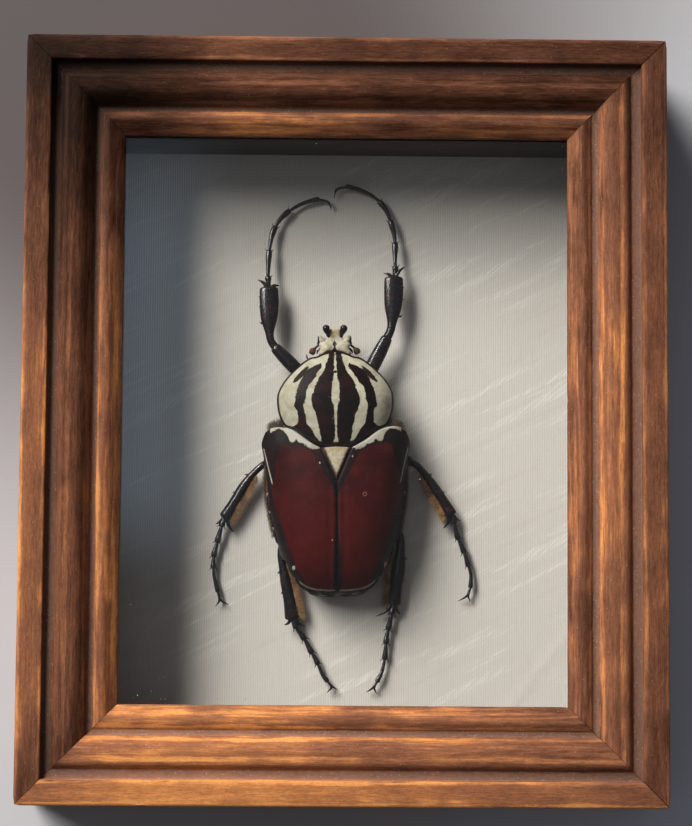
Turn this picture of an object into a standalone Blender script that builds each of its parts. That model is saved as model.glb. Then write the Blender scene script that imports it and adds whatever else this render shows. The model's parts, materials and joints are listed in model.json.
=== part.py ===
"""A goliath beetle specimen in a glazed shadow-box frame.

The frame lies on its back: X runs across it, Y from its foot to its top, Z out of the glass.
The origin is the middle of the back. Sizes are written in millimetres and turned to metres by MM.
"""

import math
from bisect import bisect_right

import bmesh
import bpy
import numpy as np
from mathutils import Matrix, Vector

MM = 0.001
FIT_GAP = 0.3

# Frame
FRAME_WIDTH = 200.0
FRAME_HEIGHT = 238.6
FRAME_DEPTH = 46.0
RAIL_WIDTH = 30.7
SIGHT_EDGE_TOP = 38.9
LIP_UNDERSIDE = 37.5
REBATE_WALL = 22.2
MITRE_SETBACK = 0.2

# Moulding on the front of a rail, from its outer edge inwards: how far in, how far below the front,
# and how far the stretch that leads there swells out
MOULDING = (
    (0.0, 0.9, 0.0),
    (0.9, 0.0, 0.25),
    (7.3, 0.0, 0.0),
    (8.0, 0.7, 0.2),
    (8.3, 2.3, 0.0),
    (11.0, 2.4, 0.0),
    (11.3, 2.1, 0.0),
    (14.0, 1.1, 0.45),
    (14.6, 1.1, 0.0),
    (20.7, 3.8, 0.9),
    (21.8, 5.2, 0.0),
    (23.1, 5.4, 0.0),
    (23.4, 5.1, 0.0),
    (28.2, 5.6, 0.9),
)
MOULDING_STEP = 1.3

# Layers in the rebate, as heights above the back of the frame
BACK_RECESS = 2.5
BACK_PANEL_TOP = 5.4
BOARD_UNDERSIDE = 5.7
BOARD_TOP = 8.2
FABRIC_UNDERSIDE = 8.5
FABRIC_TOP = 9.0
SPACER_TOP = 34.6
GLASS_UNDERSIDE = 34.9
GLASS_TOP = 37.2
PANEL_CLEARANCE = 0.5
SIDE_SPACER_SETBACK = 3.4

# Framing points that hold the back panel in
POINT_LENGTH = 11.0
POINT_WIDTH = 7.0
POINT_THICKNESS = 0.5
POINT_BITE = 3.0
POINT_SLOT = (4.8, 3.6, 1.1)
POINT_SPREAD_TOP = 45.0
POINT_SPREAD_SIDE = 62.0

# Hanger on the back panel
HANGER_LENGTH = 44.0
HANGER_HEIGHT = 9.0
HANGER_THICKNESS = 0.6
HANGER_RISE = 1.1
HANGER_TOOTH_DEPTH = 1.6
HANGER_TEETH = 11
HANGER_TAB = 7.0
HANGER_BEND = 2.0
HANGER_TO_PANEL_EDGE = 9.0

# Beetle: where the middle of the pronotum's rear edge lies, and the turn of the body
BODY_ORIGIN = (-2.5, -7.9)
BODY_TURN_DEGREES = 1.0

# Pronotum, as half widths and places along the body from its rear edge
PRONOTUM_CENTRE_Y = 15.0
PRONOTUM_OUTLINE = (
    (0.0, 31.0),
    (3.4, 30.2),
    (6.0, 29.1),
    (8.2, 28.7),
    (11.3, 26.6),
    (14.5, 23.6),
    (16.8, 20.7),
    (18.3, 17.6),
    (18.5, 14.4),
    (18.1, 11.4),
    (17.1, 8.6),
    (16.0, 7.1),
    (13.4, 5.9),
    (8.9, 2.7),
    (4.6, 0.2),
    (0.0, 0.0),
)
PRONOTUM_SIDE = (
    (-1.0, 16.6),
    (6.0, 17.4),
    (12.0, 18.6),
    (16.0, 19.0),
    (21.0, 17.1),
    (27.0, 12.0),
    (32.0, 8.6),
)
PRONOTUM_CROWN = ((-1.0, 19.6), (7.0, 20.4), (16.0, 20.0), (24.0, 17.8), (31.5, 14.2))
PRONOTUM_RIM = 10.0
PRONOTUM_UNDERSIDE = 8.9
PROSTERNUM_HALF = (6.3, 12.0)
PROSTERNUM_HEIGHTS = (0.3, 2.2, 8.5)
PRONOTUM_TUCK = 0.965
PRONOTUM_RINGS = (1.0, 0.95, 0.84, 0.66, 0.42, 0.16)

# Wing cases, as half widths and places along the body
ELYTRON_FRONT = ((4.8, -0.5), (9.2, 2.0), (13.6, 5.2), (17.2, 6.5), (20.2, 6.4), (22.3, 5.2))
ELYTRON_SIDE = (
    (22.3, 5.2),
    (23.5, 1.8),
    (23.0, -2.0),
    (22.2, -8.0),
    (21.2, -17.0),
    (19.9, -24.0),
    (18.6, -29.0),
    (16.7, -34.2),
    (15.0, -38.0),
    (13.0, -41.0),
)
ELYTRON_REAR = ((0.17, -45.2), (5.0, -45.0), (8.4, -44.4), (10.9, -43.1), (13.0, -41.0))
SUTURE_TOP = (0.3, -11.2)
SUTURE_END = (0.17, -45.2)
SUTURE_TOP_SHARE = 0.25
ELYTRA_HALF_WIDTH = (
    (-46.0, 8.0),
    (-44.6, 10.0),
    (-41.0, 13.8),
    (-34.2, 17.0),
    (-24.0, 20.2),
    (-12.7, 21.9),
    (-2.0, 23.4),
    (2.0, 24.0),
    (8.0, 23.4),
)
ELYTRA_CROWN = (
    (-46.0, 11.0),
    (-42.0, 14.8),
    (-35.0, 18.6),
    (-24.0, 21.4),
    (-10.0, 22.0),
    (0.0, 20.8),
    (8.0, 18.6),
)
ELYTRA_EDGE = ((-46.0, 8.6), (-30.0, 8.0), (-10.0, 8.4), (8.0, 11.0))
ELYTRON_THICKNESS = 1.0
ELYTRON_GRID = (8, 16)
SHELL_SQUARENESS = 2.4

# Scutellum, the triangle between the wing cases
SCUTELLUM_HALF_WIDTH = 4.35
SCUTELLUM_FRONT = -0.35
SCUTELLUM_TIP = -10.3
SCUTELLUM_SINK = 0.15
SCUTELLUM_THICKNESS = 1.5

# Hind body under the wing cases
FLANK_HALF_WIDTH = (
    (-46.5, 7.0),
    (-44.0, 11.0),
    (-38.0, 15.2),
    (-30.0, 19.0),
    (-20.0, 21.6),
    (-10.0, 22.7),
    (-4.0, 22.2),
    (0.0, 20.0),
)
FLANK_HEIGHTS = (5.0, 6.3, 7.5)
FLANK_ROUNDING = 0.8
KEEL_HALF_WIDTH = 5.2
KEEL_BOTTOM = 0.3
BELLY_STEP_HALF_WIDTH = 7.0
CORE_INSET = 2.6
CORE_DROP = 2.3
BACK_ARCH_STEPS = 7
SHOULDER_LOBE = ((17.0, -3.0, 10.5), (18.2, 2.5, 11.2), (19.3, 8.0, 11.2))
SHOULDER_LOBE_WIDTHS = (5.0, 4.6, 3.6)
THORAX_REACH = (-0.5, -13.4)
ABDOMEN_REACH = (-13.8, -45.4)
PYGIDIUM_TIP_Y = -46.6
PYGIDIUM_SHRINK = 0.72

# Head
HEAD_OUTLINE = (
    (0.0, 31.35),
    (2.7, 30.75),
    (4.6, 29.9),
    (5.2, 30.6),
    (4.6, 32.2),
    (5.0, 33.3),
    (4.6, 34.2),
    (3.2, 34.9),
    (2.2, 35.9),
    (1.9, 37.4),
    (1.5, 38.4),
    (0.0, 38.7),
)
HEAD_CENTRE_Y = 33.4
HEAD_TOP = ((29.5, 12.2), (33.0, 11.6), (36.0, 10.4), (39.0, 11.2))
HEAD_UNDER_RINGS = ((0.45, 5.4), (0.85, 5.9), (0.98, 8.6))
HEAD_UPPER_RINGS = ((1.0, 0.9), (0.9, 0.1), (0.5, 0.0))
HORN_PRONG = ((1.7, 35.6, 9.6), (2.3, 37.0, 10.2), (2.9, 38.5, 10.9), (3.3, 39.7, 11.5))
HORN_PRONG_WIDTHS = (0.9, 1.5, 2.4, 2.4)
HEAD_LOBE = ((3.4, 34.0, 9.8), (4.0, 35.0, 10.2), (4.5, 36.2, 10.6))
HEAD_LOBE_WIDTHS = (2.4, 2.0, 0.7)
ANTENNA = ((5.8, 32.8, 8.2), (6.4, 32.2, 8.4), (7.2, 31.3, 8.3), (7.9, 30.2, 7.9))
ANTENNA_WIDTHS = (1.0, 1.7, 2.3, 1.7)

# Legs, as places on the frame from its middle and heights above the fabric. Each femur runs from
# the hip to the knee, and each tarsus ends between its two claws. A tibia's hair lies on one side.
LEGS = {
    "fore_left": {
        "femur": ((-10.2, 13.0, 5.8), (-15.3, 18.0, 6.0), (-22.7, 25.5, 6.2)),
        "femur_width": 4.3,
        "tibia": ((-23.6, 27.6, 6.2), (-24.1, 33.0, 6.0), (-24.1, 39.0, 5.7), (-24.3, 44.9, 5.4)),
        "tibia_widths": (2.6, 5.2, 5.9, 5.6),
        "spurs": ((-27.9, 47.0), (-20.9, 45.1)),
        "tarsus": (
            (-24.5, 46.4, 5.2),
            (-24.6, 51.0, 4.5),
            (-24.2, 57.5, 3.6),
            (-23.0, 63.3, 2.8),
            (-20.4, 67.7, 2.3),
            (-16.4, 71.0, 2.0),
            (-12.5, 72.9, 1.9),
            (-7.9, 74.1, 2.0),
        ),
        "claws": ((-4.3, 70.4, 1.3), (-4.6, 71.6, 3.0)),
        "claw_bend": (-5.6, 73.3),
        "hair": 0,
    },
    "fore_right": {
        "femur": ((5.4, 12.6, 6.0), (9.2, 19.3, 6.1), (14.1, 29.1, 6.2)),
        "femur_width": 4.5,
        "tibia": ((14.9, 31.0, 6.2), (15.5, 35.6, 6.0), (15.8, 42.0, 5.8), (15.8, 48.6, 5.6)),
        "tibia_widths": (2.8, 5.2, 5.9, 5.6),
        "spurs": ((19.5, 51.6), (12.5, 49.4)),
        "tarsus": (
            (16.3, 50.5, 5.4),
            (16.2, 54.2, 4.7),
            (16.2, 60.4, 3.6),
            (15.2, 65.4, 3.0),
            (13.2, 70.6, 2.4),
            (9.9, 74.4, 2.1),
            (5.4, 76.9, 2.0),
            (-0.1, 78.3, 2.1),
        ),
        "claws": ((-3.5, 74.2, 1.3), (-3.2, 75.4, 3.1)),
        "claw_bend": (-2.6, 77.4),
        "hair": 0,
    },
    "mid_left": {
        "femur": ((-10.2, -7.5, 2.7), (-17.5, -9.8, 2.9), (-25.5, -12.1, 3.2)),
        "femur_width": 4.0,
        "tibia": ((-26.9, -13.6, 3.4), (-30.3, -17.3, 3.3), (-34.1, -23.4, 3.1), (-37.9, -30.0, 2.9)),
        "tibia_widths": (2.2, 3.1, 3.1, 4.0),
        "spurs": ((-34.9, -34.1), (-40.6, -31.6)),
        "tarsus": (
            (-38.7, -32.2, 2.6),
            (-39.9, -36.9, 2.1),
            (-41.0, -41.3, 1.9),
            (-41.2, -45.0, 1.8),
            (-40.8, -48.6, 1.7),
            (-39.5, -53.6, 1.8),
        ),
        "claws": ((-40.4, -57.8, 1.1), (-36.2, -57.2, 1.1)),
        "claw_bend": (-39.0, -55.6),
        "hair": 1,
    },
    "mid_right": {
        "femur": ((5.0, -7.6, 2.7), (13.0, -9.4, 2.9), (22.4, -11.3, 3.2)),
        "femur_width": 4.0,
        "tibia": ((24.0, -12.7, 3.4), (27.4, -16.8, 3.3), (31.6, -22.9, 3.1), (35.0, -28.6, 2.9)),
        "tibia_widths": (2.2, 3.0, 3.1, 3.9),
        "spurs": ((32.2, -32.4), (37.7, -30.0)),
        "tarsus": (
            (35.7, -30.7, 2.6),
            (36.9, -35.3, 2.1),
            (38.7, -39.4, 1.9),
            (40.1, -43.6, 1.8),
            (41.1, -47.3, 1.7),
            (40.9, -51.7, 1.8),
        ),
        "claws": ((40.9, -55.7, 1.1), (37.0, -55.6, 1.1)),
        "claw_bend": (40.2, -53.6),
        "hair": -1,
    },
    "hind_left": {
        "femur": ((-10.4, -22.0, 2.5), (-15.0, -30.0, 2.6), (-19.8, -39.0, 2.8)),
        "femur_width": 4.8,
        "tibia": ((-19.6, -41.4, 3.2), (-18.5, -47.6, 3.2), (-17.1, -54.2, 3.1), (-15.7, -62.0, 2.9)),
        "tibia_widths": (2.4, 3.4, 3.7, 4.7),
        "spurs": ((-18.4, -63.6), (-11.7, -63.9)),
        "tarsus": (
            (-14.55, -64.4, 2.6),
            (-12.1, -67.7, 2.1),
            (-9.8, -71.9, 1.9),
            (-7.9, -75.1, 1.8),
            (-6.2, -79.0, 1.7),
            (-4.2, -81.7, 1.8),
        ),
        "claws": ((-1.2, -83.9, 1.1), (-4.6, -84.9, 1.1)),
        "claw_bend": (-3.1, -82.9),
        "hair": 1,
    },
    "hind_right": {
        "femur": ((5.2, -22.2, 2.3), (11.4, -27.4, 2.4), (17.8, -33.8, 2.6)),
        "femur_width": 4.8,
        "tibia": ((18.5, -36.3, 3.2), (18.0, -43.0, 3.2), (17.2, -50.0, 3.1), (16.5, -57.4, 2.9)),
        "tibia_widths": (2.8, 4.4, 4.0, 4.0),
        "spurs": ((18.6, -60.0), (10.9, -60.6)),
        "tarsus": (
            (15.9, -59.2, 2.6),
            (15.1, -63.3, 2.1),
            (14.3, -66.8, 1.9),
            (14.0, -70.4, 1.8),
            (13.6, -74.6, 1.7),
            (12.7, -78.4, 1.7),
            (11.0, -81.8, 1.8),
        ),
        "claws": ((7.9, -84.7, 1.1), (11.2, -85.2, 1.1)),
        "claw_bend": (10.3, -83.0),
        "hair": -1,
    },
}
FEMUR_HEIGHT_SHARE = 0.8
TIBIA_HEIGHT = 2.6
SPUR_WIDTH = 1.3
TARSUS_WIDTH = 2.0
TARSUS_JOINTS = 5
TARSUS_SAMPLES = 15
CLAW_WIDTH = 0.8
HAIR_WIDTH = 3.0
HAIR_THICKNESS = 0.7
HAIR_GAP = 0.5
HAIR_SINK = 0.3

# Colours as linear red, green and blue, with roughness
FINISHES = {
    "stained_pine": ((0.24, 0.088, 0.036), 0.5),
    "dark_pine": ((0.035, 0.018, 0.011), 0.7),
    "glass": ((0.95, 0.98, 0.97), 0.02),
    "ribbed_cloth": ((0.6, 0.57, 0.49), 0.6),
    "board": ((0.5, 0.46, 0.38), 0.9),
    "hardboard": ((0.16, 0.09, 0.05), 0.8),
    "steel": ((0.55, 0.55, 0.53), 0.35),
    "cream_chitin": ((0.56, 0.5, 0.36), 0.5),
    "maroon_chitin": ((0.075, 0.016, 0.013), 0.45),
    "black_chitin": ((0.012, 0.011, 0.013), 0.25),
    "brown_chitin": ((0.1, 0.035, 0.018), 0.5),
    "tawny_hair": ((0.36, 0.16, 0.05), 0.8),
}


def clear_scene():
    for item in list(bpy.data.objects):
        bpy.data.objects.remove(item, do_unlink=True)


def material(finish):
    """The named finish as a Principled material, made once."""
    found = bpy.data.materials.get(finish)
    if found:
        return found
    colour, roughness = FINISHES[finish]
    made = bpy.data.materials.new(finish)
    made.use_nodes = True
    shader = made.node_tree.nodes["Principled BSDF"]
    shader.inputs["Base Color"].default_value = (*colour, 1.0)
    shader.inputs["Roughness"].default_value = roughness
    shader.inputs["Metallic"].default_value = 1.0 if finish == "steel" else 0.0
    shader.inputs["Transmission Weight"].default_value = 1.0 if finish == "glass" else 0.0
    return made


def add_object(name, mesh_in_progress, finish):
    """Turns a bmesh in millimetres into a smooth-shaded object."""
    bmesh.ops.scale(mesh_in_progress, vec=(MM, MM, MM), verts=mesh_in_progress.verts)
    bmesh.ops.recalc_face_normals(mesh_in_progress, faces=mesh_in_progress.faces)
    mesh = bpy.data.meshes.new(name)
    mesh_in_progress.to_mesh(mesh)
    mesh_in_progress.free()
    mesh.shade_smooth()
    mesh.set_sharp_from_angle(angle=math.radians(40))
    mesh.materials.append(material(finish))
    made = bpy.data.objects.new(name, mesh)
    bpy.context.scene.collection.objects.link(made)
    return made


def hide(helper):
    helper.hide_render = True
    helper.display_type = "WIRE"


def combine(base, other, operation):
    """Cuts other from base, or joins it to base, and hides other."""
    boolean = base.modifiers.new(operation.title(), "BOOLEAN")
    boolean.operation = operation
    boolean.solver = "EXACT"
    boolean.object = other
    hide(other)


def smooth_line(points, samples):
    """Samples spread evenly along a curve that passes through the points."""
    points = [Vector(p) for p in points]
    guarded = [points[0] * 2 - points[1]] + points + [points[-1] * 2 - points[-2]]
    line = []
    for k in range(samples):
        along = k / (samples - 1) * (len(points) - 1)
        i = min(int(along), len(points) - 2)
        t = along - i
        before, start, end, after = guarded[i : i + 4]
        line.append(
            0.5
            * (
                2 * start
                + (end - before) * t
                + (2 * before - 5 * start + 4 * end - after) * t**2
                + (3 * start - before - 3 * end + after) * t**3
            )
        )
    return line


def along_stations(stations, place):
    """The value at a place on a smooth line through (place, value) stations, in rising order of place."""
    places = [station[0] for station in stations]
    values = [station[1] for station in stations]
    slopes = np.gradient(values, places)
    i = min(max(bisect_right(places, place) - 1, 0), len(places) - 2)
    span = places[i + 1] - places[i]
    t = min(max((place - places[i]) / span, 0.0), 1.0)
    return float(
        (1 + 2 * t) * (1 - t) ** 2 * values[i]
        + t * (1 - t) ** 2 * span * slopes[i]
        + t**2 * (3 - 2 * t) * values[i + 1]
        + t**2 * (t - 1) * span * slopes[i + 1]
    )


def between(values, share):
    """A value read between evenly spaced values, at a share from 0 to 1."""
    return float(np.interp(share, np.linspace(0, 1, len(values)), values))


def swell(start, end, rise, steps):
    """Points from start to end on a hump that stands rise above the straight line."""
    start = Vector(start)
    end = Vector(end)
    out = Vector((start.y - end.y, end.x - start.x)).normalized()
    line = []
    for k in range(steps + 1):
        t = k / steps
        line.append(tuple(start.lerp(end, t) + out * rise * math.sin(math.pi * t)))
    return line


def loft(name, rings, finish):
    """A closed body through rings of equally many points, with both ends capped."""
    body = bmesh.new()
    rows = [[body.verts.new(point) for point in ring] for ring in rings]
    count = len(rows[0])
    for low, high in zip(rows, rows[1:]):
        for k in range(count):
            body.faces.new((low[k], low[(k + 1) % count], high[(k + 1) % count], high[k]))
    body.faces.new(reversed(rows[0]))
    body.faces.new(rows[-1])
    return add_object(name, body, finish)


def slab(name, low, high, finish):
    """A rectangular piece between two opposite corners."""
    body = bmesh.new()
    bmesh.ops.create_cube(body, size=1.0)
    low = Vector(low)
    high = Vector(high)
    bmesh.ops.scale(body, vec=high - low, verts=body.verts)
    bmesh.ops.translate(body, vec=(low + high) / 2, verts=body.verts)
    return add_object(name, body, finish)


def limb(name, path, widths, heights, finish, sides=8, samples=9):
    """A tapering round-ended body along a path, with widths across it and heights upwards."""
    centres = smooth_line(path, samples)
    rings = []
    for k, centre in enumerate(centres):
        tangent = (centres[min(k + 1, samples - 1)] - centres[max(k - 1, 0)]).normalized()
        across = tangent.cross(Vector((0, 0, 1))).normalized()
        up = across.cross(tangent)
        share = k / (samples - 1)
        half_width = between(widths, share) / 2
        half_height = between(heights, share) / 2
        ends = {0: (-1,), samples - 1: (1,)}.get(k, ())
        rows = [(centre, 1.0)]
        for direction in ends:
            tip = (centre + tangent * direction * half_height * 0.55, 0.6)
            rows.insert(0 if direction < 0 else 1, tip)
        for middle, scale in rows:
            rings.append(
                [
                    middle
                    + across * half_width * scale * math.cos(turn)
                    + up * half_height * scale * math.sin(turn)
                    for turn in (math.tau * j / sides for j in range(sides))
                ]
            )
    return loft(name, rings, finish)


def rail_section():
    """Section of a rail: distance in from its outer edge and height above its back."""
    section = [(0.0, 0.0)]
    for depth, drop, rise in MOULDING:
        point = (depth, FRAME_DEPTH - drop)
        if rise:
            steps = max(2, round((depth - section[-1][0]) / MOULDING_STEP))
            section += swell(section[-1], point, rise, steps)[1:]
        else:
            section.append(point)
    section += [(RAIL_WIDTH, SIGHT_EDGE_TOP), (RAIL_WIDTH, LIP_UNDERSIDE)]
    section += [(REBATE_WALL, LIP_UNDERSIDE), (REBATE_WALL, 0.0)]
    return section


def make_rail(name, half_length, place, turn_degrees):
    """A mitred rail, made along X with its outer edge at Y = 0 and turned into its place."""
    ends = [
        [
            Vector((side * (half_length - depth - MITRE_SETBACK), -depth, height))
            for depth, height in rail_section()
        ]
        for side in (-1, 1)
    ]
    rail = loft(name, ends, "stained_pine")
    rail.location = Vector(place) * MM
    rail.rotation_euler.z = math.radians(turn_degrees)
    return rail


def make_framing_points(rail, half_spread):
    """Two flat steel points on the back panel, each with its outer tip in a slot in the rail."""
    side = rail.name.replace("rail_", "")
    height = BACK_RECESS - FIT_GAP - POINT_THICKNESS
    middle_y = -REBATE_WALL + POINT_BITE - POINT_LENGTH / 2
    width, depth, tall = POINT_SLOT
    bpy.context.view_layer.update()
    for number, place in enumerate((-half_spread, half_spread), 1):
        outline = (
            (place, middle_y + POINT_LENGTH / 2),
            (place - POINT_WIDTH / 2, middle_y),
            (place, middle_y - POINT_LENGTH / 2),
            (place + POINT_WIDTH / 2, middle_y),
        )
        levels = [[(x, y, z) for x, y in outline] for z in (height, height + POINT_THICKNESS)]
        point = loft(f"framing_point_{side}_{number}", levels, "steel")
        slot_low = (place - width / 2, -REBATE_WALL - 1.0, height - FIT_GAP)
        slot_high = (place + width / 2, -REBATE_WALL + depth, height - FIT_GAP + tall)
        slot = slab(f"slot_{side}_{number}", slot_low, slot_high, "steel")
        for piece in (point, slot):
            piece.matrix_world = rail.matrix_world.copy()
        combine(rail, slot, "DIFFERENCE")


def make_frame():
    half_width = FRAME_WIDTH / 2
    half_height = FRAME_HEIGHT / 2
    rails = (
        ("rail_top", half_width, (0, half_height, 0), 0, POINT_SPREAD_TOP),
        ("rail_bottom", half_width, (0, -half_height, 0), 180, POINT_SPREAD_TOP),
        ("rail_left", half_height, (-half_width, 0, 0), 90, POINT_SPREAD_SIDE),
        ("rail_right", half_height, (half_width, 0, 0), -90, POINT_SPREAD_SIDE),
    )
    for name, half_length, place, turn, spread in rails:
        rail = make_rail(name, half_length, place, turn)
        make_framing_points(rail, spread)


def make_layers():
    """Back panel, board, fabric and glass, each a sheet that fills the rebate."""
    reach_x = FRAME_WIDTH / 2 - REBATE_WALL - PANEL_CLEARANCE
    reach_y = FRAME_HEIGHT / 2 - REBATE_WALL - PANEL_CLEARANCE
    layers = (
        ("back_panel", BACK_RECESS, BACK_PANEL_TOP, "hardboard"),
        ("mount_board", BOARD_UNDERSIDE, BOARD_TOP, "board"),
        ("lining_fabric", FABRIC_UNDERSIDE, FABRIC_TOP, "ribbed_cloth"),
        ("glass_pane", GLASS_UNDERSIDE, GLASS_TOP, "glass"),
    )
    for name, low, high, finish in layers:
        slab(name, (-reach_x, -reach_y, low), (reach_x, reach_y, high), finish)


def make_spacers():
    """Four strips that stand on the fabric round the window and carry the glass."""
    reach_x = FRAME_WIDTH / 2 - REBATE_WALL - PANEL_CLEARANCE
    reach_y = FRAME_HEIGHT / 2 - REBATE_WALL - PANEL_CLEARANCE
    sight_x = FRAME_WIDTH / 2 - RAIL_WIDTH
    sight_y = FRAME_HEIGHT / 2 - RAIL_WIDTH
    low = FABRIC_TOP + FIT_GAP
    inner_x = sight_x + SIDE_SPACER_SETBACK
    inner_y = sight_y + SIDE_SPACER_SETBACK
    end_top = sight_y - FIT_GAP
    end_bottom = -inner_y + FIT_GAP
    spacers = {
        "spacer_top": ((-reach_x, sight_y), (reach_x, reach_y)),
        "spacer_bottom": ((-reach_x, -reach_y), (reach_x, -inner_y)),
        "spacer_left": ((-reach_x, end_bottom), (-inner_x, end_top)),
        "spacer_right": ((inner_x, end_bottom), (reach_x, end_top)),
    }
    for name, (corner, opposite) in spacers.items():
        slab(name, (*corner, low), (*opposite, SPACER_TOP), "dark_pine")


def make_hanger():
    """A toothed strip near the top of the back panel, with its middle standing off the panel."""
    top_y = FRAME_HEIGHT / 2 - REBATE_WALL - HANGER_TO_PANEL_EDGE
    foot = BACK_RECESS - FIT_GAP
    half = HANGER_LENGTH / 2
    bend_out = half - HANGER_TAB
    bend_in = bend_out - HANGER_BEND
    columns = [(-half, 0.0, 0.0), (-bend_out, 0.0, 0.0)]
    for k in range(2 * HANGER_TEETH + 1):
        tooth = HANGER_TOOTH_DEPTH if k % 2 else 0.0
        columns.append((-bend_in + k * bend_in / HANGER_TEETH, tooth, HANGER_RISE))
    columns += [(bend_out, 0.0, 0.0), (half, 0.0, 0.0)]
    rings = []
    for x, tooth, rise in columns:
        low_y = top_y - HANGER_HEIGHT + tooth
        back = foot - rise - HANGER_THICKNESS
        front = foot - rise
        rings.append([(x, top_y, back), (x, low_y, back), (x, low_y, front), (x, top_y, front)])
    loft("sawtooth_hanger", rings, "steel")


def dome(x, half_width, edge, crown):
    """Height of a shell's arched section at x."""
    reach = min(abs(x) / half_width, 1.0)
    return edge + (crown - edge) * math.sqrt(1 - reach**SHELL_SQUARENESS)


def pronotum_height(x, y):
    crown = along_stations(PRONOTUM_CROWN, y)
    return dome(x, along_stations(PRONOTUM_SIDE, y), PRONOTUM_RIM, crown)


def elytra_height(x, y):
    crown = along_stations(ELYTRA_CROWN, y)
    edge = along_stations(ELYTRA_EDGE, y)
    return dome(x, along_stations(ELYTRA_HALF_WIDTH, y), edge, crown)


def whole_outline(half, samples):
    """A closed outline from its right half, which runs from the front to the rear."""
    right = smooth_line([(x, y, 0.0) for x, y in half], samples)
    left = [Vector((-point.x, point.y, 0.0)) for point in reversed(right[1:-1])]
    return right + left


def body_place():
    """Where the beetle's own axes lie on the fabric."""
    x, y = BODY_ORIGIN
    turn = Matrix.Rotation(math.radians(BODY_TURN_DEGREES), 4, "Z")
    return Matrix.Translation(Vector((x, y, FABRIC_TOP)) * MM) @ turn


def set_on_fabric(piece):
    piece.matrix_world = body_place()


def make_pronotum():
    """The prothorax: its domed shield, thin side rims and the keel between the fore legs."""
    centre = Vector((0, PRONOTUM_CENTRE_Y, 0))
    outline = whole_outline(PRONOTUM_OUTLINE, 17)
    half_across, half_along = PROSTERNUM_HALF
    rings = []
    for scale, height in zip((0.5, 1.0, 1.0), PROSTERNUM_HEIGHTS):
        ring = []
        for point in outline:
            arm = (point - centre).normalized()
            reach = scale / math.hypot(arm.x / half_across, arm.y / half_along)
            ring.append(centre + arm * reach + Vector((0, 0, height)))
        rings.append(ring)
    tuck = [centre + (point - centre) * PRONOTUM_TUCK for point in outline]
    rings.append([point + Vector((0, 0, PRONOTUM_UNDERSIDE)) for point in tuck])
    for scale in PRONOTUM_RINGS:
        ring = [centre + (point - centre) * scale for point in outline]
        rings.append([point + Vector((0, 0, pronotum_height(point.x, point.y))) for point in ring])
    set_on_fabric(loft("pronotum", rings, "cream_chitin"))


def elytron_edges(across, along):
    """The four edges of a wing case, as lists of points: front, rear, suture and side."""
    front = smooth_line(ELYTRON_FRONT, across + 1)
    rear = smooth_line(ELYTRON_REAR, across + 1)
    side = smooth_line(ELYTRON_SIDE, along + 1)
    corner = Vector(ELYTRON_FRONT[0])
    top = Vector(SUTURE_TOP)
    end = Vector(SUTURE_END)
    suture = []
    for k in range(along + 1):
        share = k / along
        if share < SUTURE_TOP_SHARE:
            suture.append(corner.lerp(top, share / SUTURE_TOP_SHARE))
        else:
            suture.append(top.lerp(end, (share - SUTURE_TOP_SHARE) / (1 - SUTURE_TOP_SHARE)))
    return front, rear, suture, side


def make_elytron(name, side_sign):
    """One wing case: a curved shell filled in between its four edges."""
    across, along = ELYTRON_GRID
    front, rear, suture, side = elytron_edges(across, along)
    shell = bmesh.new()
    rows = []
    for j in range(along + 1):
        t = j / along
        row = []
        for i in range(across + 1):
            s = i / across
            corners = (front[0].lerp(front[-1], s)).lerp(rear[0].lerp(rear[-1], s), t)
            point = front[i].lerp(rear[i], t) + suture[j].lerp(side[j], s) - corners
            height = elytra_height(point.x, point.y)
            row.append(shell.verts.new((side_sign * point.x, point.y, height)))
        rows.append(row)
    for low, high in zip(rows, rows[1:]):
        for i in range(across):
            shell.faces.new((low[i], low[i + 1], high[i + 1], high[i]))
    elytron = add_object(name, shell, "maroon_chitin")
    if elytron.data.polygons[0].normal.z < 0:
        elytron.data.flip_normals()
    thickness = elytron.modifiers.new("Thickness", "SOLIDIFY")
    thickness.thickness = ELYTRON_THICKNESS * MM
    thickness.offset = -1.0
    set_on_fabric(elytron)


def make_scutellum():
    outline = ((-1.0, 0.0), (1.0, 0.0), (0.52, -0.46), (0.0, -1.0), (-0.52, -0.46))
    length = SCUTELLUM_FRONT - SCUTELLUM_TIP
    levels = []
    for lift in (-SCUTELLUM_THICKNESS, 0.0):
        level = []
        for across, along in outline:
            y = SCUTELLUM_FRONT + along * length
            height = along_stations(ELYTRA_CROWN, y) - SCUTELLUM_SINK + lift
            level.append((across * SCUTELLUM_HALF_WIDTH, y, height))
        levels.append(level)
    set_on_fabric(loft("scutellum", levels, "cream_chitin"))


def hind_body_section(y, shrink):
    """A ring across the body: a keel, hollows for the legs, hairy flanks and an arched back."""
    flank = along_stations(FLANK_HALF_WIDTH, y) * shrink
    core = (along_stations(ELYTRA_HALF_WIDTH, y) - CORE_INSET) * shrink
    crown = along_stations(ELYTRA_CROWN, y) - CORE_DROP
    under, middle, over = FLANK_HEIGHTS
    half = [(KEEL_HALF_WIDTH * shrink, KEEL_BOTTOM), (BELLY_STEP_HALF_WIDTH * shrink, under)]
    half += [(flank - FLANK_ROUNDING, under), (flank, middle), (flank - FLANK_ROUNDING, over)]
    for k in range(BACK_ARCH_STEPS):
        x = core * math.cos(k * math.pi / 2 / BACK_ARCH_STEPS)
        half.append((x, dome(x, core, over + FIT_GAP, middle + (crown - middle) * shrink)))
    right = [Vector((x, y, height)) for x, height in half]
    left = [Vector((-point.x, y, point.z)) for point in reversed(right)]
    return right + left


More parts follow.
